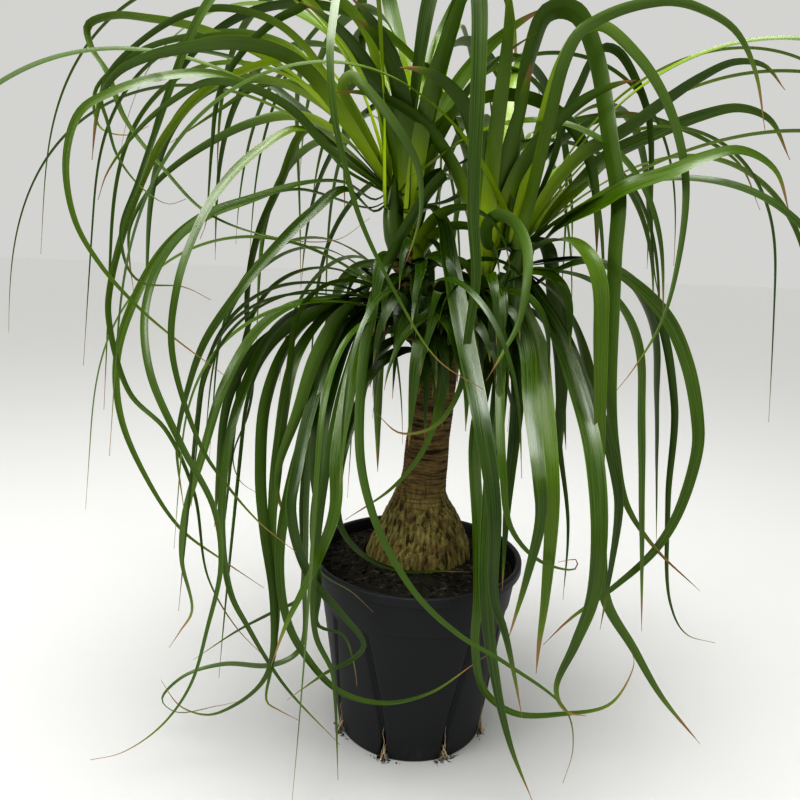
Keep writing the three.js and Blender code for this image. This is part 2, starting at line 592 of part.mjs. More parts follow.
// A leaf drawn on the sheet. It leaves its head's core and comes to its depth by mid length.
function drawnMidrib(core, row, bend) {
  const pairs = row.slice(2);
  const sights = [];
  for (let i = 0; i < pairs.length; i += 2) sights.push(sight(pairs[i], pairs[i + 1]));
  const root = rootOf(core, atDepth(sights[0], mix(core.start.y, row[1] + bend, 0.12)));
  const flat = sights.map((direction) => atDepth(direction, root.y));
  const run = [flat[0].distanceTo(root)];
  for (let i = 1; i < flat.length; i += 1) run.push(run[i - 1] + flat[i].distanceTo(flat[i - 1]));
  const reach = 0.55 * run[run.length - 1];
  const placed = sights.map((direction, i) => {
    const depth = mix(root.y, row[1] + bend, smooth(run[i] / reach));
    return atDepth(direction, depth);
  });
  return slideClear(evenly([root, ...placed]), row[0]);
}

// A leaf placed by rule. Its slope falls smoothly from launch to hanging as it runs out.
function archedMidrib(root, { azimuth, launch, span, hang }) {
  const points = [root.clone()];
  const steps = Math.round(span / SAMPLE);
  for (let i = 0; i < steps; i += 1) {
    const slope = mix(launch, -84 * DEGREE, smooth((i / steps) / hang));
    const turn = azimuth + 0.35 * Math.sin((3 * i) / steps + 9 * launch);
    const level = Math.cos(slope);
    const way = new THREE.Vector3(level * Math.cos(turn), level * Math.sin(turn), Math.sin(slope));
    points.push(points[i].clone().addScaledVector(way, SAMPLE));
  }
  return points;
}

// Width of a blade at a share of its length: a narrower neck at the root, drawn out to a thread.
function bladeWidth(width, s) {
  const taper = (1 - s ** 1.8) ** 0.9;
  return Math.max(TIP_WIDTH, width * taper * mix(0.5, 1, smooth(s / 0.16)));
}

// The crosswise direction along a midrib: level at the root, carried on without needless turning,
// and twisted evenly by twist in all.
function acrossOf(points, twist) {
  const last = points.length - 1;
  const ways = points.map((_, i) => wayAt(points, i));
  const away = points[Math.round(0.3 * last)].clone().sub(points[0]);
  let across = new THREE.Vector3(away.y, -away.x, 0).normalize();
  return ways.map((way, i) => {
    across = across.clone().addScaledVector(way, -across.dot(way)).normalize();
    return across.clone().applyAxisAngle(way, twist * smooth(i / last));
  });
}

// Stations of a blade: closer where the midrib bends, further apart where it runs straight.
function stationsOf(points, across) {
  const last = points.length - 1;
  const way = (i) => wayAt(points, i);
  const stations = [0];
  let from = 0;
  for (let i = 1; i < last; i += 1) {
    const bend = way(from).angleTo(way(i)) + 0.5 * across[from].angleTo(across[i]);
    if (bend > 26 * DEGREE || (i - from) * SAMPLE > 95) {
      stations.push(i);
      from = i;
    }
  }
  if (last - from < 3 && stations.length > 2) stations.pop();
  stations.push(last);
  return stations;
}

function bladeSolid({ points, across, width }) {
  const last = points.length - 1;
  const rings = stationsOf(points, across).map((i) => {
    const face = across[i].clone().cross(wayAt(points, i)).normalize();
    const half = 0.5 * bladeWidth(width, i / last);
    const keel = KEEL * Math.min(1, 0.45 + half / 8);
    return [
      points[i].clone().addScaledVector(across[i], half),
      points[i].clone().addScaledVector(face, -keel),
      points[i].clone().addScaledVector(across[i], -half),
    ];
  });
  return toSolid(skin(rings));
}

// A coarse map of the cells that each head's leaves take up, which keeps the heads apart.
const CELL = 6.5;
const DOTS_ACROSS = [-1, -0.5, 0, 0.5, 1];
const MAP_ORIGIN = new THREE.Vector3(-620, -520, -20);
const MAP_SIZE = [200, 170, 150];

function newMap() {
  return new Uint8Array(MAP_SIZE[0] * MAP_SIZE[1] * MAP_SIZE[2]);
}

function cellOf(point) {
  return [0, 1, 2].map((k) => Math.floor((point.getComponent(k) - MAP_ORIGIN.getComponent(k)) / CELL));
}

function cellIndex([i, j, k]) {
  return (i * MAP_SIZE[1] + j) * MAP_SIZE[2] + k;
}

// Points spread over a blade, four millimetres apart at most.
function bladeDots({ points, across, width }) {
  const last = points.length - 1;
  const dots = [];
  points.forEach((point, i) => {
    const half = 0.5 * bladeWidth(width, i / last);
    for (const share of DOTS_ACROSS) dots.push(point.clone().addScaledVector(across[i], share * half));
  });
  return dots;
}

function mark(map, dots) {
  for (const dot of dots) {
    const [i, j, k] = cellOf(dot);
    for (let a = -1; a <= 1; a += 1) {
      for (let b = -1; b <= 1; b += 1) {
        for (let c = -1; c <= 1; c += 1) map[cellIndex([i + a, j + b, k + c])] = 1;
      }
    }
  }
}

function isFree(maps, head, dots) {
  return Object.entries(maps).every(
    ([name, map]) => name === head || dots.every((dot) => map[cellIndex(cellOf(dot))] === 0),
  );
}

// Where a leaf leaves its core: flat lying ones low down and on the outside, steep ones higher up
// and nearer to the middle.
function rootOf(core, aim) {
  const low = coreRow(core, 0.3);
  const way = aim.clone().sub(low).normalize();
  const steep = smooth((way.z + 0.1) / 1.1);
  const level = new THREE.Vector3(way.x, way.y, 0).normalize();
  return coreRow(core, mix(0.36, 0.8, steep)).addScaledVector(level, core.radius * mix(0.8, 0.25, steep));
}

function leafOf(points, width, twist) {
  return { points, width, across: acrossOf(points, twist) };
}

// Tries a leaf as drawn, then a little nearer and further in turn, until it clears the other heads.
function placeDrawn(core, row, twist, fits) {
  for (let attempt = 0; attempt < 30; attempt += 1) {
    const bend = (attempt % 2 ? -1 : 1) * 11 * Math.ceil(attempt / 2);
    const leaf = leafOf(drawnMidrib(core, row, bend), row[0], twist);
    if (fits(leaf)) return leaf;
  }
  return null;
}

// Tries a leaf by rule, then turned a little to either side, until it clears everything.
function placeArched(core, form, twist, fits) {
  for (let attempt = 0; attempt < 16; attempt += 1) {
    const azimuth = form.azimuth + (attempt % 2 ? -1 : 1) * 5 * DEGREE * Math.ceil(attempt / 2);
    const way = new THREE.Vector3(Math.cos(azimuth), Math.sin(azimuth), Math.tan(form.launch));
    const points = archedMidrib(rootOf(core, coreRow(core, 0.3).add(way)), { ...form, azimuth });
    const leaf = leafOf(points, form.width, twist);
    const clear = points.every(
      (p, i) => i <= FREE_SAMPLES || !blocked(p, 0.5 * bladeWidth(form.width, i / points.length) + 2),
    );
    if (clear && fits(leaf)) return leaf;
  }
  return null;
}

function headLeaves(head, maps, seed) {
  const core = coreOf(head);
  const draw = draws(seed);
  const leaves = [];
  const fits = (leaf) => isFree(maps, head, bladeDots(leaf).slice(DOTS_ACROSS.length * FREE_SAMPLES));
  const keep = (leaf) => {
    if (!leaf) return;
    leaves.push(leaf);
    mark(maps[head], bladeDots(leaf));
  };
  for (const row of DRAWN[head]) keep(placeDrawn(core, row, mix(-40, 40, draw()) * DEGREE, fits));
  for (const band of SPREAD[head]) {
    for (let i = 0; i < band.count; i += 1) {
      const form = {
        azimuth: mix(band.first, band.last, (i + 0.2 + 0.6 * draw()) / band.count) * DEGREE,
        launch: mix(band.launch[0], band.launch[1], (i * 0.618 + 0.2 * draw()) % 1) * DEGREE,
        span: mix(band.span[0], band.span[1], draw()),
        hang: mix(0.72, 1.05, draw()),
        width: band.width * mix(0.75, 1.1, draw()),
      };
      keep(placeArched(core, form, mix(-50, 50, draw()) * DEGREE, fits));
    }
  }
  return leaves;
}

function heads() {
  const maps = { left: newMap(), right: newMap(), low: newMap() };
  for (const head of Object.keys(maps)) {
    const core = coreOf(head);
    const dots = [];
    for (let t = 0; t <= 1; t += 0.1) dots.push(coreRow(core, t));
    mark(maps[head], dots);
  }
  return Object.keys(maps).map((head, index) => {
    const leaves = headLeaves(head, maps, 101 + 7 * index);
    const solid = fuse([coreSolid(coreOf(head)), ...leaves.map(bladeSolid)]);
    return mesh(`head_${head}`, outerShell(toSolid(outerShell(solid))), COLOURS.leaf);
  });
}

// Roots that have grown out of four of the drainage notches. Each row of a path is the distance to
// the side, the distance out from the pot's face, and the height.
const ROOTS = [
  { flute: 6, radius: 1.1, path: [[0, -4.4, 12], [0, -1, 11], [0.4, 2.2, 8], [1, 4.4, 4], [-1, 7, 1.6]] },
  { flute: 7, radius: 0.9, path: [[1, -4.4, 9], [1, -1, 8.5], [0, 2, 6.5], [-1, 4, 3], [-1, 6.5, 1.4]] },
  { flute: 0, radius: 0.8, path: [[0, -4.4, 13], [0, -1, 12], [1, 1.8, 9], [3, 3.2, 4.5], [6, 4, 1.3]] },
  { flute: 1, radius: 1.5, path: [[0, -4.2, 12], [0, -1, 11], [0.3, 2.6, 9], [-1, 4.6, 4.6], [-4, 5, 2]] },
];

function root({ flute, radius, path }) {
  const turn = FLUTE_TURN + (flute * TURN) / FLUTE_COUNT;
  const out = new THREE.Vector3(Math.cos(turn), Math.sin(turn), 0);
  const side = new THREE.Vector3(-out.y, out.x, 0);
  const places = path.map(([aside, away, z]) => out.clone().multiplyScalar(potRadius(z) + away)
    .addScaledVector(side, aside).setZ(z).toArray());
  return skin(stemRings(places, [1, 1, 0.95, 0.85, 0.6].map((f) => f * radius), 6));
}

const group = new THREE.Group();
group.add(mesh('pot', pot(), COLOURS.pot));
group.add(mesh('soil', soil(), COLOURS.soil));
group.add(mesh('trunk', trunk(), COLOURS.trunk));
for (const head of heads()) group.add(head);
ROOTS.forEach((row, i) => group.add(mesh(`root_${i + 1}`, root(row), COLOURS.root)));

export default group;
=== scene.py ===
"""The finish of a ponytail palm in its nursery pot: fine blades, bark, soil, roots and light.

Places are worked out in millimetres, +Z up, the origin at the middle of the pot's underside,
and turned into metres where a mesh is made.
"""

import math

import bmesh
import bpy
import numpy as np
from mathutils import Matrix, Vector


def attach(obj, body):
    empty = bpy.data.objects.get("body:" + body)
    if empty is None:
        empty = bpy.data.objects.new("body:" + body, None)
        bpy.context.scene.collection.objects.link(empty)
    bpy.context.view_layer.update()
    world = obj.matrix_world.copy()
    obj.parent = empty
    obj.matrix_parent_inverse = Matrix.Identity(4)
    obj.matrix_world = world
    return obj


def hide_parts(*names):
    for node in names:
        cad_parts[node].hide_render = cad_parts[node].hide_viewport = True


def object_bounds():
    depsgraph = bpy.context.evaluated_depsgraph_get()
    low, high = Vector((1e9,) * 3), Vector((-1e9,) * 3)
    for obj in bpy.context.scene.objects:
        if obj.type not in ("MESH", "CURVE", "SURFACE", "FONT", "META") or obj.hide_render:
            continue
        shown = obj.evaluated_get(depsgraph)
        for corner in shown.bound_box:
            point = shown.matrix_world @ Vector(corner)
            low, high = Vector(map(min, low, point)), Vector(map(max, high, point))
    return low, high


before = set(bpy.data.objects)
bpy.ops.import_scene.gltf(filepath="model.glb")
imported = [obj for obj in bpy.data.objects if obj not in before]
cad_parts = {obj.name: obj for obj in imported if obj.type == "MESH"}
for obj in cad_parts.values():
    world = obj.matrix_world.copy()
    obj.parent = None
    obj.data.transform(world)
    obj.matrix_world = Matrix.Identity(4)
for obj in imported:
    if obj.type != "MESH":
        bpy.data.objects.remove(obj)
cad_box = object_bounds()

METRE = 0.001
TURN = 2 * math.pi
DEGREE = math.pi / 180
UP = np.array([0.0, 0.0, 1.0])
# The corners of the box that the whole solid object fills, in mm.
BOX_LOW, BOX_HIGH = (np.array(corner) / METRE for corner in cad_box)

# The pot, as its solid is built.
RIM_RADIUS = 108
BASE_RADIUS = 76.5
POT_HEIGHT = 189
POT_WALL = 2.4
POT_FLOOR = 3
LIP_HEIGHT = 9
LIP_OUT = 3.4
COLLAR_HEIGHT = 45
COLLAR_STEP = 1.8
FLUTE_COUNT = 8
FLUTE_TURN = -64.5 * DEGREE
FLUTE_DEPTH = 2.8
FLUTE_LEAN = 10 * DEGREE
FLUTE_HALF_ANGLE = 2.1 * DEGREE
FLUTE_EDGE = 1.5 * FLUTE_HALF_ANGLE
FLUTE_STOP = 9
NOTCH_HEIGHT = 31
NOTCH_HALF_WIDTH = 5.5
NOTCH_UNDER = 1
NOTCH_REACH = 8
FOOT_ROUND = 1.6
RIM_ROUND = 1.6
FLOOR_CAP = 20
POT_CREASE = 38 * DEGREE

SOIL_EDGE_LEVEL = 177
SOIL_MOUND = 13
SOIL_CREST = SOIL_EDGE_LEVEL + SOIL_MOUND
MOUND_RADIUS = 92
MOUND_SLOPE = 36
SOIL_GAP = 1.2
SOIL_SIDES = 220
SOIL_RINGS = 56
HOLE_RADIUS = 55.4
HOLE_LEVELS = (186, 178, 166, 156, 147)
HOLE_GAP = 0.8
JOINT_GAP = 0.3

# Height, sideways place and radius of the trunk, from its buried end to the fork.
TRUNK = np.array([
    [143, 0, 24], [147, 0, 40], [158, 0, 51], [174, 1, 55.5], [190, 1.4, 54], [202, 2.4, 50.5],
    [212, 3.5, 45.4], [223, 3, 41], [234, 2.6, 35.9], [244, 1.5, 30], [255, 1.2, 25.5], [266, 3.4, 23.2],
    [276, 4.7, 22.3], [308, 5.8, 21.6], [349, 10.3, 19.9], [399, 14.3, 18.4], [418, 15.5, 13],
])
TRUNK_Z, TRUNK_X, TRUNK_R = TRUNK.T
TRUNK_SIDES = 200
RINGS_FROM = 232
RISE_SPAN = 300

# Each stem above the fork: the places that its middle passes, and its radii along them.
STEMS = {
    "left": ([[13, 0, 386], [2, 3, 430], [-14, 3, 464], [-27, 1, 492]], [17, 15.5, 14.5, 13.5]),
    "right": ([[14, 0, 384], [31, 2, 417], [50, 1, 438], [66, 0, 455]], [17, 15, 14, 13.5]),
    "low": ([[11, 0, 390], [-1, -12, 408], [-14, -24, 422]], [15, 13, 12]),
}
STEMS_BAND = (376, 506)
STEM_SIDES = 72
STEM_STEP = 1.2
STEM_GIRTH = 14
CORE_LENGTH = {"left": 74, "right": 76, "low": 40}

# Midribs are points this far apart, and the first few may touch what they grow from.
SAMPLE = 5
FREE_SAMPLES = 5
# A solid blade's width at its tip, the lowest that a midrib lies, and the slope of a hanging leaf.
TIP_WIDTH = 1.8
FLOOR_REST = 1.6
HANGING = -84 * DEGREE

# Room that a leaf leaves round the pot's foot and wall, the rim, the soil and the trunk.
FOOT_TOP = 20
FOOT_ROOM = 10
WALL_ROOM = 4
RIM_ROOM = 12
SOIL_ROOM = 3
TRUNK_ROOM = 1.5
BLADE_ROOM = 1.5
# How near the eye a drawn leaf may slide, in which steps, and how often its depth is eased.
NEAREST_DEPTH = -330
SLIDE_STEP = 2
SLIDE_EASINGS = 40

# How a leaf that meets another leaf is moved before it is given up: tries, and mm or angle for each.
DRAWN_TRIES = 30
DRAWN_SHIFT = 11
ARCHED_TRIES = 16
ARCHED_SHIFT = 5 * DEGREE

# Midribs are drawn on a sheet of 800 by 800 mm that stands 700 mm in front of the eye, and
# turned to it: x is mm to the right and y is mm down from its top left corner.
EYE = np.array([-23.5, -684.0, 483.0])
SHEET_DISTANCE = 700
SHEET_MIDDLE = 400
SENSOR = 36
SHEET_SIZE = 800
EYE_PITCH = 11.19 * DEGREE
EYE_ROLL = 2.29 * DEGREE

# One row for each drawn leaf: its width, the depth that it reaches, and its midrib's x, y pairs.
DRAWN = {
    "left": [
        [13, -30, 345, 130, 300, 83, 250, 50, 197, 28, 150, 19, 112, 16, 88, 26, 92, 48, 107, 71, 125, 118,
          165, 170, 205, 211, 264, 235, 336, 240, 370, 218],
        [10, -70, 325, 75, 300, 42, 271, 20, 224, 8, 184, 15, 140, 42, 110, 72, 101, 98, 107, 120, 117, 155,
          141, 187, 168, 204, 186, 199],
        [11, 50, 325, 85, 294, 50, 250, 34, 208, 34, 154, 45, 120, 64, 95, 92, 100, 127, 127, 135, 149, 126],
        [17, -130, 327, 94, 303, 67, 270, 49, 230, 43, 192, 47, 150, 56, 118, 72, 103, 92, 96, 120, 92, 160],
        [13, 90, 333, 142, 303, 111, 269, 83, 237, 60, 189, 51, 160, 60],
        [15, -160, 341, 167, 314, 131, 270, 98, 217, 75, 165, 76, 112, 92, 80, 112, 66, 160, 75, 220,
          100, 264, 134, 303, 173, 337, 224, 375],
        [8, -100, 330, 150, 290, 108, 245, 86, 208, 82, 173, 100, 138, 130, 107, 173, 98, 200],
        [12, -40, 382, 120, 370, 40, 344, 4, 322, -6, 300, 8, 275, 21, 241, 54, 219, 94, 212, 147, 209, 187,
          206, 223, 200, 239],
        [8, 30, 350, 125, 325, 98, 303, 86, 283, 82, 257, 87, 216, 112, 170, 143],
        [16, -100, 373, 94, 350, 54, 330, 27, 307, 0, 270, -28, 235, -28, 210, 0, 192, 32, 172, 83, 157, 127,
          138, 182, 121, 231, 129, 270, 143, 283, 184, 287, 211, 300],
        [15, -60, 355, 120, 325, 74, 300, 59, 255, 67, 206, 91, 165, 137, 133, 205, 111, 283, 109, 320,
          130, 393, 166, 430, 194, 492, 208, 577, 236, 627, 268, 660],
        [10, 100, 345, 140, 300, 116, 248, 124, 184, 159, 150, 190, 130, 227, 129, 254, 134, 294],
        [15, -190, 340, 150, 300, 129, 257, 151, 221, 187, 197, 228, 177, 287, 172, 351, 201, 446, 226, 484,
          260, 523, 296, 552],
        [14, 50, 340, 145, 306, 131, 281, 183, 257, 239, 247, 304, 253, 381, 248, 414, 233, 458, 241, 482,
          257, 493],
        [15, -20, 375, 200, 344, 183, 303, 184, 250, 200, 204, 217, 165, 249, 135, 299, 117, 358, 121, 417,
          146, 477, 181, 529, 221, 559, 264, 588],
        [15, -110, 370, 208, 300, 190, 250, 200, 204, 217, 165, 255, 146, 307, 150, 371, 181, 444, 214, 508,
          221, 564, 208, 626, 190, 686, 160, 727, 121, 753, 90, 760],
        [13, -140, 375, 212, 346, 190, 310, 214, 270, 254, 234, 298, 205, 341, 189, 385, 177, 444, 184, 510],
        [13, -70, 377, 174, 370, 147, 357, 120, 342, 86, 350, 76, 364, 87, 394, 123, 416, 161, 421, 187,
          420, 217, 409, 254, 403, 268],
        [17, -230, 386, 210, 384, 107, 381, 54, 378, 0, 372, -40, 355, -52, 341, -25, 333, 20, 330, 54,
          334, 114, 342, 154, 361, 221, 394, 290, 437, 359, 484, 390],
        [16, -110, 408, 210, 411, 161, 415, 107, 421, 54, 430, 0, 445, -45, 462, -52, 474, -30, 479, 0,
          479, 54, 477, 107, 473, 210, 476, 277, 468, 335, 459, 391, 435, 426, 400, 433, 376, 413],
        [15, 160, 400, 170, 411, 94, 431, 67, 444, 33, 460, 0, 480, -30, 500, -20, 512, 20, 517, 70],
        [15, 180, 399, 150, 404, 80, 397, 40, 389, 0, 378, -40, 366, -30, 362, 20, 366, 100],
        [18, -200, 418, 215, 430, 208, 442, 222, 448, 255, 465, 340, 483, 430, 494, 510, 494, 600, 504, 630,
          512, 664, 522, 717],
        [18, -175, 415, 200, 432, 178, 446, 173, 432, 190, 404, 234, 380, 284, 366, 344, 360, 450, 370, 504,
          389, 551, 421, 600, 461, 636, 507, 664, 566, 710, 573, 748, 563, 783],
        [9, 90, 445, 203, 480, 181, 514, 154, 567, 124, 604, 116, 640, 116, 700, 137, 740, 165, 760, 210],
        [9, -80, 440, 250, 452, 320, 447, 370, 441, 403, 421, 454, 392, 488, 345, 520],
    ],
    "right": [
        [17, -60, 508, 250, 514, 210, 519, 147, 524, 94, 534, 47, 545, 17, 557, 10, 566, 10, 578, 16,
          594, 54, 610, 147, 618, 200, 614, 260, 611, 400, 615, 450, 626, 504, 654, 547, 700, 591],
        [18, -140, 515, 250, 527, 210, 549, 120, 565, 60, 579, 33, 598, 20, 620, 10, 647, 3, 673, 1, 700, 8,
          735, 30, 755, 70, 765, 130],
        [16, 60, 520, 250, 534, 210, 554, 161, 567, 114, 581, 84, 591, 62, 604, 48, 618, 52, 637, 83,
          649, 120, 651, 217, 654, 270, 661, 306],
        [14, 140, 503, 250, 503, 210, 500, 174, 495, 134, 489, 92],
        [13, 100, 508, 250, 513, 170, 511, 134, 507, 100, 499, 75, 489, 58],
        [12, -40, 520, 245, 549, 193, 567, 169, 587, 151, 627, 129, 661, 104, 700, 78, 735, 62, 765, 66,
          785, 90],
        [13, 20, 530, 245, 556, 210, 580, 185, 607, 157, 645, 138, 700, 116, 740, 108, 770, 120, 790, 160],
        [14, -100, 532, 250, 564, 223, 608, 198, 627, 187, 677, 169, 700, 159, 740, 150, 775, 170, 790, 215],
        [13, -90, 512, 245, 535, 150, 560, 65, 580, 32, 600, 25, 637, 55, 663, 94, 678, 134, 686, 187,
          679, 257, 662, 321, 632, 371, 616, 391],
        [15, -60, 532, 286, 554, 273, 591, 262, 624, 277, 665, 316, 687, 364, 697, 417, 697, 450, 678, 513,
          654, 551, 614, 587, 570, 619, 543, 645],
        [14, 70, 527, 240, 545, 246, 554, 310, 563, 400, 566, 450],
        [15, -120, 490, 250, 486, 228, 496, 216, 510, 219, 526, 244, 527, 280, 518, 324, 504, 351, 486, 381],
        [16, -150, 531, 292, 547, 317, 561, 344, 578, 391, 594, 457, 599, 537, 592, 600, 575, 644, 556, 690,
          567, 712, 586, 716],
        [15, -90, 535, 290, 560, 330, 586, 391, 602, 423, 618, 490, 618, 517, 607, 591, 600, 630],
        [15, -120, 520, 300, 538, 345, 544, 390, 551, 470, 552, 510, 545, 600, 539, 644, 536, 674],
        [14, -60, 508, 310, 516, 350, 518, 390, 515, 430, 507, 510, 502, 591],
        [13, -180, 515, 305, 527, 350, 531, 403, 540, 484, 541, 517, 527, 577, 508, 640],
        [8, 30, 545, 300, 556, 350, 559, 397, 558, 430, 568, 524, 563, 600],
        [9, -130, 505, 330, 500, 400, 503, 470, 511, 528, 540, 561, 575, 569, 577, 560, 558, 562],
        [12, -40, 560, 300, 585, 360, 595, 450, 600, 550, 606, 601, 633, 648, 661, 696, 700, 744],
        [9, 0, 600, 262, 650, 300, 674, 400, 668, 500, 670, 602, 686, 634, 715, 643],
        [14, -130, 500, 330, 484, 390, 475, 444, 478, 530, 478, 600, 475, 644, 484, 690, 514, 713, 561, 714,
          610, 704, 634, 664, 631, 650],
        [14, -150, 506, 330, 497, 420, 490, 500, 486, 590, 494, 670, 510, 744, 532, 800],
    ],
    "low": [
        [14, -60, 362, 296, 336, 298, 293, 306, 259, 329, 225, 385, 202, 457, 184, 520, 182, 560, 192, 611,
          181, 630, 169, 648],
        [14, -20, 360, 302, 310, 316, 280, 332, 255, 365, 231, 425, 222, 470],
        [16, -150, 378, 286, 336, 304, 294, 337, 267, 400, 261, 470, 265, 530, 274, 600, 272, 661, 261, 684,
          237, 704, 208, 715, 180, 706, 161, 680],
        [15, -100, 376, 294, 341, 316, 317, 355, 297, 414, 279, 465, 277, 490, 287, 524],
        [15, -120, 380, 300, 350, 320, 325, 365, 307, 423, 297, 470, 291, 510, 309, 575, 339, 611, 364, 645,
          350, 661, 329, 671, 287, 700],
        [14, -80, 370, 310, 338, 350, 319, 410, 313, 473, 319, 521, 323, 537],
        [15, -190, 385, 300, 362, 340, 349, 390, 337, 457, 335, 510, 319, 557, 286, 625, 271, 666],
        [14, -60, 384, 260, 361, 230, 340, 203, 322, 188, 303, 199, 277, 223, 247, 267, 231, 320, 225, 374,
          225, 440, 241, 510, 263, 548],
        [10, -130, 370, 320, 330, 380, 300, 450, 280, 550, 286, 616, 303, 652, 339, 691, 384, 703, 430, 693,
          471, 666, 487, 655],
        [9, -62, 385, 330, 360, 400, 340, 470, 341, 527, 366, 557, 403, 571, 437, 571, 470, 572],
        [8, -95, 375, 330, 345, 400, 318, 480, 312, 540, 320, 571, 353, 593, 373, 612],
        [9, -115, 365, 320, 330, 400, 318, 500, 319, 595, 318, 625, 343, 635, 354, 664, 357, 686],
        [9, -140, 372, 310, 345, 380, 325, 480, 314, 580, 316, 636, 332, 671, 335, 696, 338, 780],
        [9, -60, 355, 310, 320, 380, 308, 480, 305, 580, 300, 649, 272, 665, 224, 664, 184, 676, 162, 700,
          176, 712, 217, 706, 241, 701],
        [9, -20, 350, 310, 315, 400, 303, 500, 299, 598, 277, 610, 237, 631, 193, 660],
        [10, -90, 345, 300, 285, 320, 240, 400, 222, 500, 230, 590, 248, 627, 285, 686, 340, 745],
        [11, -70, 352, 300, 300, 350, 278, 450, 272, 530, 275, 590, 277, 617, 271, 668, 267, 702, 277, 709,
          300, 721],
    ],
}

# For the fine blade of a drawn row: its width beside the row's, and how long it holds that width.
LOOKS = {
    "left": {
        0: (0.8, 1.5), 1: (0.7, 1.6), 2: (0.8, 1.8), 3: (0.68, 2.2), 4: (0.85, 1.8), 5: (0.62, 1.4),
        7: (0.8, 1.6), 9: (0.58, 1.5), 10: (0.6, 1.5), 12: (0.52, 1.6), 13: (0.75, 1.6), 14: (0.7, 1.5),
        15: (0.6, 1.5), 16: (0.7, 1.7), 17: (0.8, 1.8), 18: (0.42, 1.6), 19: (0.82, 2.4), 20: (1.2, 3.0),
        21: (1.2, 3.0), 22: (0.95, 2.0), 23: (0.85, 0.9), 24: (1.0, 1.8),
    },
    "right": {
        0: (1.14, 2.6), 1: (0.58, 2.0), 2: (0.66, 1.8), 5: (1.1, 2.4), 6: (1.1, 2.4), 7: (1.1, 2.0),
        8: (0.72, 1.8), 9: (0.86, 2.2), 11: (0.72, 2.2), 12: (1.0, 2.8), 14: (0.95, 2.8), 16: (1.0, 2.6),
        19: (1.1, 3.0), 21: (0.85, 1.5), 22: (0.95, 2.6),
    },
    "low": {0: (0.85, 2.0), 2: (0.85, 2.0), 3: (0.85, 2.2), 4: (0.8, 1.8), 5: (0.9, 2.2), 6: (0.86, 2.2),
            7: (0.72, 1.6)},
}
PLAIN_LOOK = (1.0, 1.7)
SPREAD_LOOK = (0.6, 1.3)
# How far a fine blade turns its flat side to the front, and how often that turn is eased along it.
PLAIN_FACING = 0.25
FACING_EASINGS = 60

# Leaves placed by rule round each head: how many, compass sweep, launch slopes, lengths, width and
# hang, the share of the length by which a leaf hangs straight down. Over 1, it never quite does.
SPREAD_HANG = (0.72, 1.05)
SPREAD = {
    "left": [(15, (10, 216), (34, 72), (470, 720), 15, SPREAD_HANG)],
    "right": [(16, (-30, 176), (32, 72), (470, 700), 15, SPREAD_HANG)],
    "low": [
        (9, (85, 215), (8, 40), (330, 560), 14, SPREAD_HANG),
        (3, (235, 325), (16, 46), (170, 300), 13, SPREAD_HANG),
    ],
}
LEAF_SEEDS = {"left": 101, "right": 108, "low": 115}
# How freely a rule's leaves are drawn: where each step of the sweep starts and how far it reaches,
# how far the slope sways, and the narrowest share of the width.
SPREAD_DRAW = (0.2, 0.6, 0.2, 0.75)
FILL_DRAW = (0, 1, 0.3, 0.8)
WIDEST_DRAW = 1.1
# Steps that never fall in line: as a share of a turn, and in degrees.
GOLDEN = 0.618
GOLDEN_ANGLE = 137.5

# Leaves that only the finish adds, in the same columns.
FILL = {
    "left": [
        (9, (30, 150), (76, 87), (540, 680), 20, (0.95, 1.2)),
        (7, (190, 350), (80, 88), (220, 300), 17, (1.8, 2.4)),
        (2, (110, 180), (34, 62), (420, 520), 11, (0.75, 1.0)),
        (3, (-60, 60), (40, 70), (300, 440), 14, (0.8, 1.0)),
    ],
    "right": [
        (7, (30, 150), (72, 86), (520, 640), 18, (0.95, 1.2)),
        (6, (190, 350), (76, 88), (200, 290), 15, (1.8, 2.4)),
        (2, (-40, 60), (28, 60), (380, 500), 12, (0.75, 1.0)),
        (3, (-62, 4), (-8, 30), (290, 420), 14, (0.35, 0.6)),
        (2, (20, 150), (-5, 30), (260, 380), 15, (0.4, 0.7)),
    ],
    "low": [
        (2, (140, 236), (0, 38), (240, 380), 12, (0.45, 0.85)),
        (2, (60, 125), (0, 40), (200, 340), 13, (0.5, 0.8)),
        (4, (150, 232), (0, 40), (400, 520), 6, (0.4, 0.7)),
    ],
}
# Steeper fill leaves than this sheathe the stem's end: how far down they start, and the cone they leave.
SHEATH_LAUNCH = 60
SHEATH_DROP = 34
SHEATH_SPREAD = 1.15
SHEATH_LENGTH = 48
# Short dark leaves that clothe the stems above the fork: how many on each stem.
CLOTHING = {"left": 52, "right": 40, "low": 18}
CLOTHING_SPAN = (80, 160)
CLOTHING_TOP = 0.86
CLOTHING_WIDTH = 15
CLOTHING_LOOK = (1.0, 1.4)
CLOTHING_FRONT = (195, 345)


def smooth(t):
    """0 up to t = 0 and 1 from t = 1, by 3 t squared less 2 t cubed between them."""
    held = np.clip(t, 0, 1)
    return held * held * (3 - 2 * held)


def mix(a, b, t):
    """A value between a and b, at the share t of the way."""
    return a + (b - a) * t


def unit(v):
    """Directions of length 1."""
    return v / np.linalg.norm(v, axis=-1, keepdims=True)


def nearest(value):
    """The nearest whole number, with halves going up, as the solids were worked out."""
    return int(math.floor(value + 0.5))


def spokes(count):
    """Bearings spaced evenly round a circle."""
    return np.arange(count) * TURN / count


def shares(count):
    """Even shares along a row of points, from 0 at the first to 1 at the last."""
    return np.arange(count) / (count - 1)


class Draws:
    """A seeded row of even draws from 0 to 1: each state is the last one times FACTOR plus STEP."""

    FACTOR, STEP, SPAN = 1664525, 1013904223, 4294967296

    def __init__(self, seed):
        self.state = seed

    def __call__(self):
        self.state = (self.state * self.FACTOR + self.STEP) % self.SPAN
        return self.state / self.SPAN


RIPPLE_WAVES = 14


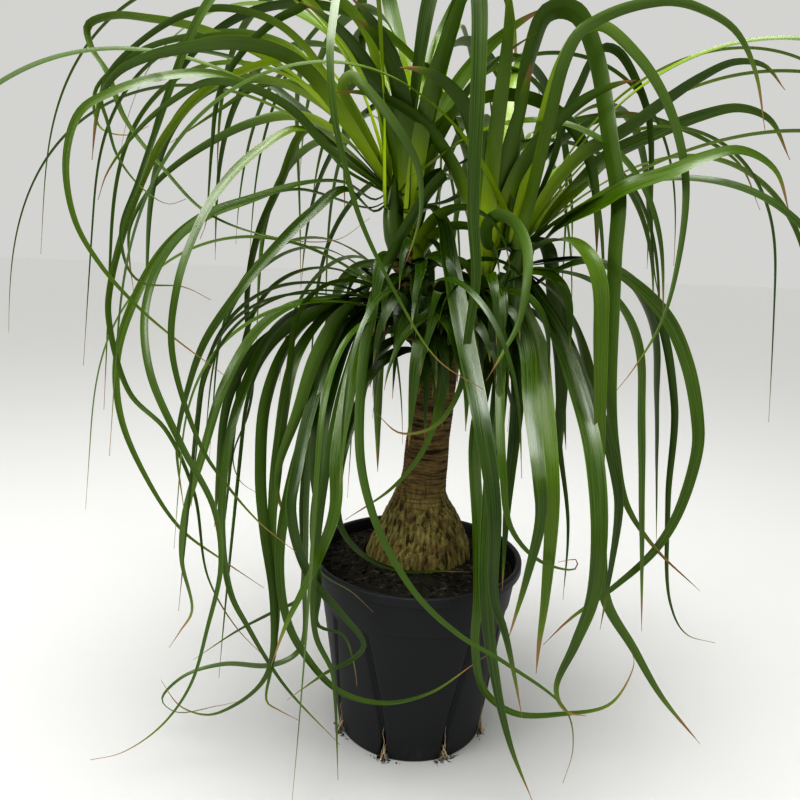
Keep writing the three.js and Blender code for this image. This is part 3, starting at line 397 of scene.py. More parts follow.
def ripple(points, wavelength, seed):
    """Smooth noise about 0: plane waves with seeded directions and phases, added and evened out."""
    rng = np.random.default_rng(seed)
    ways = unit(rng.normal(size=(RIPPLE_WAVES, 3)))
    pitch = TURN / (wavelength * rng.uniform(0.7, 1.4, RIPPLE_WAVES))
    phase = rng.uniform(0, TURN, RIPPLE_WAVES)
    return np.sin((points @ ways.T) * pitch + phase).sum(-1) / math.sqrt(RIPPLE_WAVES)


# Meshes


def link(name, data):
    """Puts a mesh, a lamp or a camera into the scene as an object."""
    made = bpy.data.objects.new(name, data)
    bpy.context.scene.collection.objects.link(made)
    return made


def make_mesh(name, points, faces, marks=None, shade_smooth=True):
    """A mesh object from points in mm, lists of corner numbers, and values kept on the points."""
    mesh = bpy.data.meshes.new(name)
    mesh.from_pydata((np.asarray(points) * METRE).tolist(), [], faces)
    mesh.polygons.foreach_set("use_smooth", [shade_smooth] * len(mesh.polygons))
    for mark_name, values in (marks or {}).items():
        layer = mesh.attributes.new(mark_name, "FLOAT", "POINT")
        layer.data.foreach_set("value", np.asarray(values, dtype=np.float32).ravel())
    mesh.update()
    return link(name, mesh)


def skin(rings):
    """Points and faces of a closed skin: quads between rings of points, and a flat cap at each end."""
    rows, columns = rings.shape[:2]
    row, column = np.meshgrid(np.arange(rows - 1), np.arange(columns), indexing="ij")
    after = (column + 1) % columns
    a, b = row * columns + column, row * columns + after
    quads = np.stack([a, b, b + columns, a + columns], -1).reshape(-1, 4)
    first = np.arange(columns)[::-1].tolist()
    last = (np.arange(columns) + (rows - 1) * columns).tolist()
    return rings.reshape(-1, 3), quads.tolist() + [first, last]


def gather(parts):
    """Joins several (points, faces, marks) into one such set."""
    points, faces, marks, start = [], [], {}, 0
    for part_points, part_faces, part_marks in parts:
        points.append(part_points)
        faces.extend([[corner + start for corner in face] for face in part_faces])
        for key, values in part_marks.items():
            marks.setdefault(key, []).append(np.broadcast_to(values, len(part_points)))
        start += len(part_points)
    return np.concatenate(points), faces, {key: np.concatenate(rows) for key, rows in marks.items()}


def dress(piece, slot, material, *nodes):
    """Gives a piece its material and names the nodes of the solid that it replaces; the slot is not used."""
    piece.data.materials.append(material)
    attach(piece, "root")
    if nodes:
        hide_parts(*nodes)


# Shader maths


class Value:
    """A shader socket in arithmetic: each operation on it adds one Math node."""

    def __init__(self, finish, socket):
        self.finish, self.socket = finish, socket

    def math(self, operation, *others):
        return self.finish.add("ShaderNodeMath", {"operation": operation}, self, *others)

    def __add__(self, other):
        return self.math("ADD", other)

    def __sub__(self, other):
        return self.math("SUBTRACT", other)

    def __mul__(self, other):
        return self.math("MULTIPLY", other)

    def __rsub__(self, other):
        return (self * -1) + other

    __radd__ = __add__
    __rmul__ = __mul__

    def between(self, low, high):
        """0 below low, 1 above high, eased in the middle."""
        settings = {"interpolation_type": "SMOOTHSTEP"}
        return self.finish.add("ShaderNodeMapRange", settings, self, low, high, 0.0, 1.0)


class Finish:
    """One material: a Principled shader, and one method that adds any other node."""

    def __init__(self, name, **fixed):
        self.material = bpy.data.materials.new(name)
        self.material.use_nodes = True
        self.tree = self.material.node_tree
        self.shader = self.tree.nodes["Principled BSDF"]
        for socket, value in fixed.items():
            self.shader.inputs[socket.replace("_", " ")].default_value = value

    def add(self, kind, settings=None, *values, out=0, **named):
        """Adds a node of any kind: its settings first, then the values or links of its sockets."""
        node = self.tree.nodes.new(kind)
        for key, value in (settings or {}).items():
            setattr(node, key, value)
        for key, value in list(enumerate(values)) + list(named.items()):
            self.put(node.inputs[key], value)
        return Value(self, node.outputs[out])

    def put(self, socket, value):
        if isinstance(value, Value):
            self.tree.links.new(value.socket, socket)
        else:
            socket.default_value = value

    def mark(self, name):
        return self.add("ShaderNodeAttribute", {"attribute_name": name}, out="Fac")

    def place(self, stretch=(1, 1, 1)):
        place = self.add("ShaderNodeTexCoord", out="Object")
        return self.add("ShaderNodeMapping", {}, place, Scale=stretch)

    def noise(self, scale, place=None, detail=3.0, rough=0.5):
        return self.add("ShaderNodeTexNoise", {}, out="Fac", Vector=place or self.place(), Scale=scale,
                        Detail=detail, Roughness=rough)

    def blend(self, share, first, second):
        """A colour between two others, each a colour or another blend."""
        node = self.tree.nodes.new("ShaderNodeMix")
        node.data_type = "RGBA"
        self.put(node.inputs["Factor"], share)
        colours = [socket for socket in node.inputs if socket.type == "RGBA"]
        self.put(colours[0], first)
        self.put(colours[1], second)
        return Value(self, next(socket for socket in node.outputs if socket.type == "RGBA"))

    def layers(self, colour, *coats):
        """Lays coats over a colour, each given as its share and its own colour."""
        for share, coat in coats:
            colour = self.blend(share, colour, coat)
        return colour

    def bump(self, height, strength, distance):
        return self.add("ShaderNodeBump", {}, out="Normal", Strength=strength, Distance=distance,
                        Height=height)

    def wear(self, **sockets):
        for socket, value in sockets.items():
            self.put(self.shader.inputs[socket.replace("_", " ")], value)
        return self.material


def rgb(red, green, blue):
    return (red, green, blue, 1.0)


# Finishes


def leaf_material():
    """Waxy strap leaf: lime near an upright leaf's root, painted light on its lower blade and painted shade
    at its root end, dark along the blade, its tip dried brown.
    """
    leaf = Finish("leaf", Specular_IOR_Level=0.5)
    along, side = leaf.mark("along"), leaf.mark("side")
    tone, under, fresh = leaf.mark("tone"), leaf.mark("under"), leaf.mark("fresh")
    patch = leaf.noise(22.0, detail=2.0)
    lanes = leaf.add("ShaderNodeCombineXYZ", {}, side * 7.0 + tone * 41, along * 5.0, tone * 83)
    streak = leaf.noise(1.0, lanes, detail=3.0, rough=0.6)
    dark, mid, lime = rgb(0.012, 0.036, 0.0002), rgb(0.086, 0.16, 0.0005), rgb(0.4, 0.54, 0.002)
    blade = leaf.blend(tone * 0.6 + patch * 0.3 + streak.between(0.3, 0.7) * 0.4 - 0.22, dark, mid)
    veins = (side * 40.0).math("SINE") * 0.5 + 0.5
    margin = side.math("ABSOLUTE").between(0.86, 1.0)
    # The lime fades in a little above the root, so the root end keeps the dark green: the leaf bases' own
    # darker colour, and painted shade where they crowd at the stem.
    young = fresh * along.between(-0.01, 0.07) * (1 - along.between(0.08, 0.46))
    ends = along + tone * 0.05 + patch * 0.03
    dry = ends.between(0.955, 1.0)
    blade = leaf.layers(
        blade,
        (veins * 0.07, rgb(0.1, 0.19, 0.01)),
        (margin * 0.35, rgb(0.16, 0.25, 0.03)),
        (under * 0.3, rgb(0.1, 0.17, 0.03)),
        (tone.between(0.86, 0.98) * 0.1, rgb(0.17, 0.24, 0.012)),
        # Painted light: brighter green over the lower blade of upright leaves, lifting the shade that other
        # leaves cast on them.
        (fresh * (1 - along.between(0.2, 0.7)) * 0.55, rgb(0.14, 0.24, 0.0005)),
        (young * (tone.between(0.2, 0.6) * 0.45 + 0.5), lime),
        (ends.between(0.88, 1.0) * 0.7, rgb(0.17, 0.23, 0.02)),
        (dry, rgb(0.26, 0.15, 0.06)),
    )
    rough = patch * 0.1 + streak.between(0.35, 0.65) * 0.16 + 0.17 + under * 0.14 + dry * 0.3
    relief = veins * 0.6 + streak * 2.0
    return leaf.wear(Base_Color=blade, Roughness=rough, Normal=leaf.bump(relief, 0.1, 0.0003))


def bark_material():
    """Corky olive brown streaks, dark cracks and painted furrow shade below; finely ringed brown bark above,
    with painted shade in its grooves.
    """
    bark = Finish("bark", Specular_IOR_Level=0.25)
    relief, rise = bark.mark("relief"), bark.mark("rise")
    speck = bark.noise(500.0, detail=4.0)
    streak = bark.noise(340.0, bark.place((1, 1, 0.04)), detail=5.0, rough=0.65)
    cloud = bark.noise(38.0, detail=2.0)
    rings = bark.noise(62.0, bark.place((0.5, 0.5, 4.6)), detail=5.0, rough=0.65)
    fissure = bark.noise(230.0, bark.place((1, 1, 0.06)), detail=3.0, rough=0.55)
    crack = 1 - fissure.between(0.36, 0.46)
    # Painted shade: the colour darkens where the bark's relief is low, in its furrows and ring grooves.
    furrow_painted_shade = (0.1 - relief).between(0.0, 0.8)
    below = bark.blend(streak.between(0.3, 0.66), rgb(0.14, 0.11, 0.038), rgb(0.31, 0.27, 0.092))
    below = bark.layers(
        below,
        (fissure.between(0.55, 0.72) * 0.45, rgb(0.5, 0.44, 0.18)),
        (cloud.between(0.5, 0.66) * 0.6, rgb(0.2, 0.12, 0.045)),
        # painted shade in the furrows
        (furrow_painted_shade * 0.45, rgb(0.022, 0.016, 0.006)),
        (crack * 0.8, rgb(0.018, 0.013, 0.006)),
    )
    above = bark.blend(rings.between(0.34, 0.52), rgb(0.036, 0.023, 0.01), rgb(0.19, 0.13, 0.055))
    above = bark.layers(
        above,
        (rings.between(0.52, 0.7) * 0.6, rgb(0.36, 0.27, 0.14)),
        # painted shade in the ring grooves
        (furrow_painted_shade * 0.35, rgb(0.024, 0.015, 0.007)),
    )
    colour = bark.layers(
        bark.blend((rise + cloud * 0.06).between(0.16, 0.34), below, above),
        (cloud.between(0.4, 0.7) * 0.25, rgb(0.12, 0.09, 0.04)),
        (speck.between(0.52, 0.75) * 0.4, rgb(0.04, 0.026, 0.015)),
    )
    height = speck * 0.5 + rings * 0.8 * rise.between(0.16, 0.34) + streak * 0.6 - crack * 0.9
    return bark.wear(Base_Color=colour, Roughness=0.8 + speck * 0.15, Normal=bark.bump(height, 0.7, 0.001))


def pot_material():
    """Charcoal moulded plastic with a faint grain, dusted and scuffed near its foot."""
    pot = Finish("pot_plastic", Specular_IOR_Level=0.32)
    grain = pot.noise(900.0, detail=2.0)
    cloud = pot.noise(14.0, pot.place((1, 1, 0.5)), detail=4.0, rough=0.6)
    scuff = pot.noise(180.0, pot.place((1, 1, 0.18)), detail=3.0)
    low = 1 - pot.mark("rise").between(0.0, 0.2)
    colour = pot.blend(cloud, rgb(0.0125, 0.0132, 0.0148), rgb(0.0215, 0.0225, 0.025))
    dust = (scuff * 0.7 + cloud * 0.5 + low * 0.22).between(0.74, 1.0)
    colour = pot.blend(dust * 0.22, colour, rgb(0.12, 0.11, 0.09))
    rough = cloud * 0.14 + 0.4 + dust * 0.2 + grain * 0.05
    return pot.wear(Base_Color=colour, Roughness=rough, Normal=pot.bump(grain + scuff * 0.4, 0.1, 0.0004))


def soil_material():
    """Dark damp potting soil, lumpy and specked, with paler chips."""
    soil = Finish("soil", Specular_IOR_Level=0.3)
    lump, speck = soil.noise(160.0, detail=4.0), soil.noise(700.0, detail=3.0)
    chip = soil.noise(240.0, soil.place((0.4, 1, 1)), detail=3.0)
    colour = soil.layers(
        soil.blend(lump, rgb(0.008, 0.007, 0.005), rgb(0.042, 0.037, 0.025)),
        (chip.between(0.54, 0.7) * 0.7, rgb(0.12, 0.11, 0.07)),
        (speck.between(0.6, 0.75) * 0.4, rgb(0.06, 0.05, 0.03)),
    )
    return soil.wear(Base_Color=colour, Roughness=0.8 + speck * 0.15,
                     Normal=soil.bump(lump + speck, 0.8, 0.0015))


def fibre_material():
    """Dull brown fibre, each strand in its own tone."""
    fibre = Finish("fibre", Specular_IOR_Level=0.2)
    colour = fibre.blend(fibre.mark("tone"), rgb(0.015, 0.011, 0.006), rgb(0.09, 0.065, 0.034))
    return fibre.wear(Base_Color=colour, Roughness=0.85 + fibre.noise(400.0) * 0.1)


def root_material():
    """Pale dry root, streaked along its length."""
    root = Finish("root", Specular_IOR_Level=0.3)
    streak = root.noise(300.0, root.place((1, 1, 0.3)), detail=3.0)
    colour = root.blend(streak.between(0.35, 0.7), rgb(0.36, 0.26, 0.14), rgb(0.66, 0.57, 0.4))
    return root.wear(Base_Color=colour, Roughness=0.6 + streak * 0.2, Normal=root.bump(streak, 0.5, 0.0005))


# The pot


def pot_radius(z):
    """The wall's outer radius at a height: an even slope from the base, and a step out at the collar."""
    collar = POT_HEIGHT - COLLAR_HEIGHT
    slope = (RIM_RADIUS - LIP_OUT - COLLAR_STEP - BASE_RADIUS) / POT_HEIGHT
    return BASE_RADIUS + slope * z + np.where(np.asarray(z) > collar, COLLAR_STEP, 0)


def pot_profile():
    """Height, radius and share of a flute's depth, from the rounded foot up the wall, out at the collar
    and the lip, over the rim in a half circle, and down the inside to the floor."""
    collar, lip = POT_HEIGHT - COLLAR_HEIGHT, POT_HEIGHT - LIP_HEIGHT
    bed_top = collar - FLUTE_STOP
    rows = [(0, pot_radius(0) - FOOT_ROUND, 0), (0.3, pot_radius(0) - 0.6, 0.3)]
    rows += [(1.2, pot_radius(1.2), 0.8)]
    rows += [(z, pot_radius(z), 1) for z in np.linspace(3, bed_top, 22)]
    for t in (0.25, 0.5, 0.75, 0.97):
        rows.append((bed_top + FLUTE_STOP * t, pot_radius(bed_top + FLUTE_STOP * t), 1 - smooth(t)))
    rows += [(collar + 0.6, pot_radius(collar - 1) + 0.35, 0)]
    rows += [(collar + 1.6, pot_radius(collar + 2) - 0.3, 0)]
    rows += [(z, pot_radius(z), 0) for z in np.linspace(collar + 2.5, lip - 1.6, 7)]
    rows += [(lip - 1, pot_radius(lip) + 0.5, 0), (lip - 0.5, RIM_RADIUS - 0.9, 0)]
    rows += [(lip + 0.3, RIM_RADIUS - 0.1, 0)]
    rows += [(z, RIM_RADIUS, 0) for z in (lip + 1.2, lip + 4, POT_HEIGHT - 2.4)]
    rim_in = pot_radius(POT_HEIGHT) - POT_WALL
    bead = 0.5 * (RIM_RADIUS - rim_in)
    for turn in np.linspace(0, math.pi, 9):
        z = POT_HEIGHT - RIM_ROUND + RIM_ROUND * math.sin(turn)
        rows.append((z, rim_in + bead + bead * math.cos(turn), 0))
    rows += [(z, pot_radius(z) - POT_WALL, 0) for z in (lip, collar + 12, collar + 3, collar - 1)]
    rows += [(z, pot_radius(z) - POT_WALL, 1) for z in (bed_top, 80, NOTCH_HEIGHT, POT_FLOOR)]
    rows.append((POT_FLOOR, FLOOR_CAP, 0))
    return np.array(rows, dtype=float)


def pot_bearings():
    """Bearings round the pot and how deep a flute is at each: 1 on a flute's bed, eased at its sides."""
    plain = np.linspace(FLUTE_EDGE, TURN / FLUTE_COUNT - FLUTE_EDGE, 22)[1:-1]
    offsets = np.concatenate([np.linspace(-FLUTE_EDGE, FLUTE_EDGE, 21), plain])
    pressed = 1 - smooth(np.abs(offsets) / FLUTE_EDGE)
    turns = FLUTE_TURN + spokes(FLUTE_COUNT)[:, None] + offsets
    return turns.ravel(), np.tile(pressed, FLUTE_COUNT)


def lean(z, turns):
    """How far a bearing turns at a height: above the notches, the flutes lean together in pairs."""
    top = POT_HEIGHT - COLLAR_HEIGHT - FLUTE_STOP
    share = np.clip((z - NOTCH_HEIGHT) / (top - NOTCH_HEIGHT), 0, 1)
    return share * FLUTE_LEAN * np.cos(FLUTE_COUNT / 2 * (turns - FLUTE_TURN))


def bearings_at(flute):
    """The level directions straight out from the pot at a flute, and sideways along its wall."""
    turn = FLUTE_TURN + flute * TURN / FLUTE_COUNT
    out = np.array([math.cos(turn), math.sin(turn), 0])
    return out, np.array([-out[1], out[0], 0])


def notch_wedges():
    """Wedges, narrowing to a point above, that open the drainage notches."""
    wide, low = NOTCH_HALF_WIDTH, -NOTCH_UNDER
    corners = np.array([[-wide, low], [wide, low], [0, NOTCH_HEIGHT]], dtype=float)
    parts = []
    for flute in range(FLUTE_COUNT):
        out, aside = bearings_at(flute)
        face = corners[:, :1] * aside + corners[:, 1:] * UP
        near, far = out * (BASE_RADIUS - NOTCH_REACH), out * (BASE_RADIUS + NOTCH_REACH)
        points, faces = skin(np.stack([face + near, face + far]))
        parts.append((points, faces, {}))
    points, faces, _ = gather(parts)
    return make_mesh("notch_wedges", points, faces, shade_smooth=False)


def outward(piece):
    """Makes every face of a closed mesh point out."""
    shape = bmesh.new()
    shape.from_mesh(piece.data)
    bmesh.ops.recalc_face_normals(shape, faces=shape.faces)
    shape.to_mesh(piece.data)
    shape.free()


def make_pot():
    """The profile turned round the axis, pressed in at the flutes, with the notches cut out."""
    profile = pot_profile()
    turns, pressed = pot_bearings()
    radius = profile[:, 1:2] - profile[:, 2:3] * pressed * FLUTE_DEPTH
    bearings = turns + lean(profile[:, :1], turns)
    rings = np.stack([radius * np.cos(bearings), radius * np.sin(bearings),
                      np.broadcast_to(profile[:, :1], radius.shape)], -1)
    points, faces = skin(rings)
    pot = make_mesh("pot_wall", points, faces)
    outward(pot)
    wedges = notch_wedges()
    outward(wedges)
    cut = pot.modifiers.new("notches", "BOOLEAN")
    cut.operation, cut.solver, cut.object = "DIFFERENCE", "EXACT", wedges
    mesh = bpy.data.meshes.new_from_object(pot.evaluated_get(bpy.context.evaluated_depsgraph_get()))
    pot.modifiers.clear()
    pot.data = mesh
    bpy.data.objects.remove(wedges)
    heights = np.empty(len(mesh.vertices) * 3)
    mesh.vertices.foreach_get("co", heights)
    rise = mesh.attributes.new("rise", "FLOAT", "POINT")
    rise.data.foreach_set("value", (heights[2::3] / (POT_HEIGHT * METRE)).astype(np.float32))
    mesh.set_sharp_from_angle(angle=POT_CREASE)
    return pot


# The soil


def soil_level(r):
    """The soil's height before its crumbs: level at the wall, easing up to the mound's crest."""
    return SOIL_EDGE_LEVEL + SOIL_MOUND * smooth((MOUND_RADIUS - r) / MOUND_SLOPE)


def soil_top(x, y):
    """Height of the soil's rough surface: the mound and three sizes of crumb."""
    r = np.hypot(x, y)
    points = np.stack([x, y, np.zeros_like(x)], -1)
    crumb = 0.9 * ripple(points, 16, 3) + 0.8 * np.abs(ripple(points, 7, 4)) + 0.5 * ripple(points, 3.2, 5)
    return soil_level(r) + 0.9 * crumb - 0.6


def make_soil():
    """Rings from the pot's floor up its wall, in over the rough top, and down round the trunk."""
    turns = spokes(SOIL_SIDES)
    collar = POT_HEIGHT - COLLAR_HEIGHT
    rows = []

    def ring(z, r, x=0.0):
        level = np.full(SOIL_SIDES, float(z))
        rows.append(np.stack([x + r * np.cos(turns), r * np.sin(turns), level], -1))

    for z, pressed in ((POT_FLOOR + 0.4, FLUTE_DEPTH), (40, FLUTE_DEPTH), (collar - 10, FLUTE_DEPTH),
                       (collar - 1, 0.4), (collar + 5, 0), (SOIL_EDGE_LEVEL - 4, 0)):
        ring(z, float(pot_radius(z)) - POT_WALL - SOIL_GAP - pressed)
    edge = float(pot_radius(SOIL_EDGE_LEVEL)) - POT_WALL - SOIL_GAP
    for r in np.linspace(edge - 0.2, HOLE_RADIUS, SOIL_RINGS):
        x, y = 0.8 * smooth((90 - r) / 30) + r * np.cos(turns), r * np.sin(turns)
        rows.append(np.stack([x, y, soil_top(x, y)], -1))
    for z in HOLE_LEVELS:
        ring(z, trunk_radius(z) + HOLE_GAP, trunk_x(z))
    ring(TRUNK_Z[0] - HOLE_GAP, TRUNK_R[0])
    points, faces = skin(np.stack(rows))
    soil = make_mesh("soil_bed", points, faces)
    outward(soil)
    return soil


# Between which radii crumbs and fibres lie, and how far a fibre may wander.
CRUMB_COUNT = 900
CRUMB_BAND = (58, 96)
FIBRE_COUNT = 90
FIBRE_STEPS = 7
FIBRE_BAND = (59, 92)
FIBRE_EDGES = (57, 94)


def make_crumbs():
    """Chips of bark and soil, each a long dented ball turned its own way, seeded over the bed."""
    rng = np.random.default_rng(21)
    count = CRUMB_COUNT
    shape = bmesh.new()
    bmesh.ops.create_icosphere(shape, subdivisions=1, radius=1.0)
    ball = np.array([vertex.co[:] for vertex in shape.verts])
    faces = [[vertex.index for vertex in face.verts] for face in shape.faces]
    shape.free()
    turn = rng.uniform(0, TURN, count)
    r = np.sqrt(rng.uniform(CRUMB_BAND[0] ** 2, CRUMB_BAND[1] ** 2, count))
    x, y = r * np.cos(turn), r * np.sin(turn)
    size = 0.55 + 1.9 * rng.random(count) ** 3
    dents = 1 + 0.28 * rng.normal(size=(count, len(ball), 1))
    squash = rng.uniform([1.0, 0.5, 0.35], [2.3, 1.0, 0.8], (count, 3))[:, None]
    chips = ball * np.clip(dents, 0.6, 1.5) * squash * size[:, None, None]
    yaw = rng.uniform(0, TURN, (count, 1))
    turned = [chips[..., 0] * np.cos(yaw) - chips[..., 1] * np.sin(yaw),
              chips[..., 0] * np.sin(yaw) + chips[..., 1] * np.cos(yaw), chips[..., 2]]
    centres = np.stack([x, y, soil_top(x, y) + 0.35 * size], -1)
    points = centres[:, None] + np.stack(turned, -1)
    starts = np.arange(count) * len(ball)
    all_faces = (np.array(faces)[None] + starts[:, None, None]).reshape(-1, 3).tolist()
    return make_mesh("soil_crumbs", points.reshape(-1, 3), all_faces, shade_smooth=False)


def circles(places, sizes, aside, front, turns):
    """Rings of points: from each place, its size times aside's cosine and front's sine of the turn."""
    around = aside[:, None] * np.cos(turns)[:, None] + front[:, None] * np.sin(turns)[:, None]
    return places[:, None] + sizes[..., None] * around


def strand(path, radii, sides):
    """A thin round strand: a circle of each radius carried along a path of points."""
    path, radii = np.asarray(path, dtype=float), np.asarray(radii, dtype=float)
    way = unit(np.gradient(path, axis=0))
    guide = np.where(np.abs(way[:, 2:]) > 0.9, [[1.0, 0, 0]], [[0, 0, 1.0]])
    aside = unit(np.cross(guide, way))
    front = np.cross(way, aside)
    return skin(circles(path, radii[:, None], aside, front, spokes(sides)))


def make_fibres():
    """Brown fibres lying on the soil: short strands that wander and stay just above the crumbs."""
    rng = np.random.default_rng(33)
    parts = []
    for _ in range(FIBRE_COUNT):
        turn = rng.uniform(0, TURN)
        r = math.sqrt(rng.uniform(FIBRE_BAND[0] ** 2, FIBRE_BAND[1] ** 2))
        heading = rng.uniform(0, TURN) + np.cumsum(rng.normal(0, 0.35, FIBRE_STEPS))
        step = rng.uniform(0.8, 2.6)
        x = r * math.cos(turn) + np.cumsum(np.cos(heading)) * step
        y = r * math.sin(turn) + np.cumsum(np.sin(heading)) * step
        far = np.hypot(x, y)
        if far.max() > FIBRE_EDGES[1] or far.min() < FIBRE_EDGES[0]:
            continue
        z = soil_top(x, y) + 0.7 + 0.5 * np.sin(np.linspace(0, 3, FIBRE_STEPS))
        path = np.stack([x, y, z], -1)
        points, faces = strand(path, np.linspace(0.32, 0.14, FIBRE_STEPS) * rng.uniform(0.7, 1.5), 4)
        parts.append((points, faces, {"tone": rng.random()}))
    return make_mesh("soil_fibres", *gather(parts))


# The trunk


def trunk_radius(z):
    """The trunk's radius at a height, without its bark."""
    return np.interp(z, TRUNK_Z, TRUNK_R)


def trunk_x(z):
    """How far to the right the trunk's middle stands at a height."""
    return np.interp(z, TRUNK_Z, TRUNK_X)


def bark_relief(turns, z):
    """Height of the bark in mm, and the pattern whose low parts get painted shade in the bark's colour:
    upright plates on the base, close rings above.

    The plates are 1 less twice the size of stretched noise, to the power 0.6. The rings are two sines
    of the height, bent by wide noise.
    """
    r = trunk_radius(z)
    flat = np.stack([np.cos(turns) * r * 1.1, np.sin(turns) * r * 1.1, z * 0.15], -1)
    slant = flat + np.stack([z * 0.05, -z * 0.04, 0 * z], -1)
    plates = 1 - 2 * np.abs(ripple(slant, 8, 41)) ** 0.6
    small = ripple(flat * [1, 1, 1.2], 4.2, 42)
    corky = 0.65 * plates + 0.3 * small
    warp = 1.1 * ripple(flat, 40, 43) + 0.35 * ripple(flat, 16, 44)
    rings = np.sin((z + warp) * TURN / 4.4) * 0.5 + 0.5 * np.sin((z - 1.3 * warp) * TURN / 3.1 + 1)
    upper = smooth((z - RINGS_FROM) / 26)
    above = smooth((z - SOIL_CREST) / 10)
    height = ((1 - upper) * corky + upper * (rings * 0.3 + 0.3 * small)) * above
    return height, (1 - upper) * corky + upper * rings


def rise_of(z):
    """How far up the trunk a height lies: 0 at the soil's crest, 1 near the stems' ends."""
    return np.clip((z - SOIL_CREST) / RISE_SPAN, 0, 1)


def trunk_shell():
    """The swollen base and the stem: level circles, moved sideways and roughened by the bark."""
    buried = np.linspace(TRUNK_Z[0], SOIL_CREST, 14)
    z = np.concatenate([buried, np.linspace(SOIL_CREST + 1, TRUNK_Z[-1], 252)])
    level, bearing = np.meshgrid(z, spokes(TRUNK_SIDES), indexing="ij")
    height, shade = bark_relief(bearing, level)
    r = trunk_radius(level) + height
    rings = np.stack([trunk_x(level) + r * np.cos(bearing), r * np.sin(bearing), level], -1)
    points, faces = skin(rings)
    return points, faces, {"relief": shade.ravel(), "rise": rise_of(level.ravel())}


PER_SPAN = 16


def curve_through(points):
    """Points on a centripetal Catmull-Rom curve through the given ones, as whole arrays."""
    points = np.asarray(points, dtype=float)
    before, after = 2 * points[0] - points[1], 2 * points[-1] - points[-2]
    padded = np.vstack([before, points, after])
    gaps = np.maximum(np.sum(np.diff(padded, axis=0) ** 2, -1) ** 0.25, 1e-4)[:, None]
    p0, p1, p2, p3 = padded[:-3], padded[1:-2], padded[2:-1], padded[3:]
    d0, d1, d2 = gaps[:-2], gaps[1:-1], gaps[2:]
    leave = ((p1 - p0) / d0 - (p2 - p0) / (d0 + d1) + (p2 - p1) / d1) * d1
    reach = ((p2 - p1) / d1 - (p3 - p1) / (d1 + d2) + (p3 - p2) / d2) * d1
    t = (np.arange(PER_SPAN) / PER_SPAN)[None, :, None]
    a, b, m, n = p1[:, None], p2[:, None], leave[:, None], reach[:, None]
    fine = a + m * t + (3 * (b - a) - 2 * m - n) * t**2 + (2 * (a - b) + m + n) * t**3
    return np.vstack([fine.reshape(-1, 3), points[-1]])


def evenly(points, spacing=SAMPLE):
    """Points at an even spacing along the smooth curve through the given ones."""
    fine = curve_through(points)
    run = np.concatenate([[0], np.cumsum(np.linalg.norm(np.diff(fine, axis=0), axis=-1))])
    reach = np.linspace(0, run[-1], max(2, round(run[-1] / spacing) + 1))
    return np.stack([np.interp(reach, run, fine[:, k]) for k in range(3)], -1)


def stem_shell(path, radii):
    """A short stem: ringed circles carried along a smooth path, its end square to it."""
    places = evenly(path, STEM_STEP)
    share = np.linspace(0, 1, len(places))
    radius = np.interp(share, np.linspace(0, 1, len(radii)), radii)
    way = unit(np.gradient(places, axis=0))
    way[-1] = unit(np.array(path[-1], dtype=float) - path[-2])
    aside = unit(np.cross([0, 1.0, 0], way))
    front = np.cross(way, aside)
    turns = spokes(STEM_SIDES)
    along = share * len(places) * STEM_STEP
    run, bearing = np.meshgrid(along, turns, indexing="ij")
    spots = np.stack([np.cos(bearing) * STEM_GIRTH, np.sin(bearing) * STEM_GIRTH, run], -1)
    shade = np.sin((run + 1.2 * ripple(spots, 20, 51)) * TURN / 4.6) * 0.7 + 0.4 * ripple(spots, 6, 52)
    fade = (1 - smooth((share - 0.94) / 0.06))[:, None]
    points, faces = skin(circles(places, radius[:, None] + 0.55 * shade * fade, aside, front, turns))
    return points, faces, {"relief": shade.ravel(), "rise": rise_of(points[:, 2])}


def make_trunk():
    """The base, the stem and the short stems above the fork, as one piece."""
    shells = [trunk_shell()] + [stem_shell(*stem) for stem in STEMS.values()]
    trunk = make_mesh("trunk_bark", *gather(shells))
    outward(trunk)
    return trunk


# Where leaves run


def core_of(head):
    """A head's core: where it starts, which way, its radius and its length."""
    path, radii = STEMS[head]
    end = np.array(path[-1], dtype=float)
    way = unit(end - np.array(path[-2], dtype=float))
    return end + way * JOINT_GAP, way, radii[-1], CORE_LENGTH[head]


def core_row(core, t):
    """A place on the core's middle, which bends upright as t goes from 0 to 1."""
    start, way, _, length = core
    return start + unit(mix(way, UP, 0.75 * t)) * t * length


def sight(x, y):
    """The direction from the eye through a place on the sheet, for one mm along Y."""
    a, b = np.asarray(x, dtype=float) - SHEET_MIDDLE, np.asarray(y, dtype=float) - SHEET_MIDDLE
    right = a * math.cos(EYE_ROLL) + b * math.sin(EYE_ROLL)
    down = b * math.cos(EYE_ROLL) - a * math.sin(EYE_ROLL)
    ahead = SHEET_DISTANCE * math.cos(EYE_PITCH) - down * math.sin(EYE_PITCH)
    lift = -SHEET_DISTANCE * math.sin(EYE_PITCH) - down * math.cos(EYE_PITCH)
    return np.stack([right / ahead, np.ones_like(ahead), lift / ahead], -1)


def at_depth(direction, depth):
    """The place where a line of sight reaches a depth along Y."""
    return EYE + direction * (np.asarray(depth) - EYE[1])[..., None]


def blade_width(width, s):
    """A solid blade's width at a share of its length: half at the root, full by 0.16, then tapering."""
    taper = np.maximum(0, 1 - s**1.8) ** 0.9
    return np.maximum(TIP_WIDTH, width * taper * mix(0.5, 1, smooth(s / 0.16)))


def near_stem(points, margin):
    """True where a point is within margin of a stem, taken as straight rods from place to place."""
    near = np.zeros(len(points), dtype=bool)
    for path, radii in STEMS.values():
        for start, end, radius in zip(path[:-1], path[1:], radii):
            start, span = np.array(start, dtype=float), np.array(end, dtype=float) - start
            share = np.clip((points - start) @ span / (span @ span), 0, 1)
            near |= np.linalg.norm(points - start - share[:, None] * span, axis=-1) < radius + margin
    return near


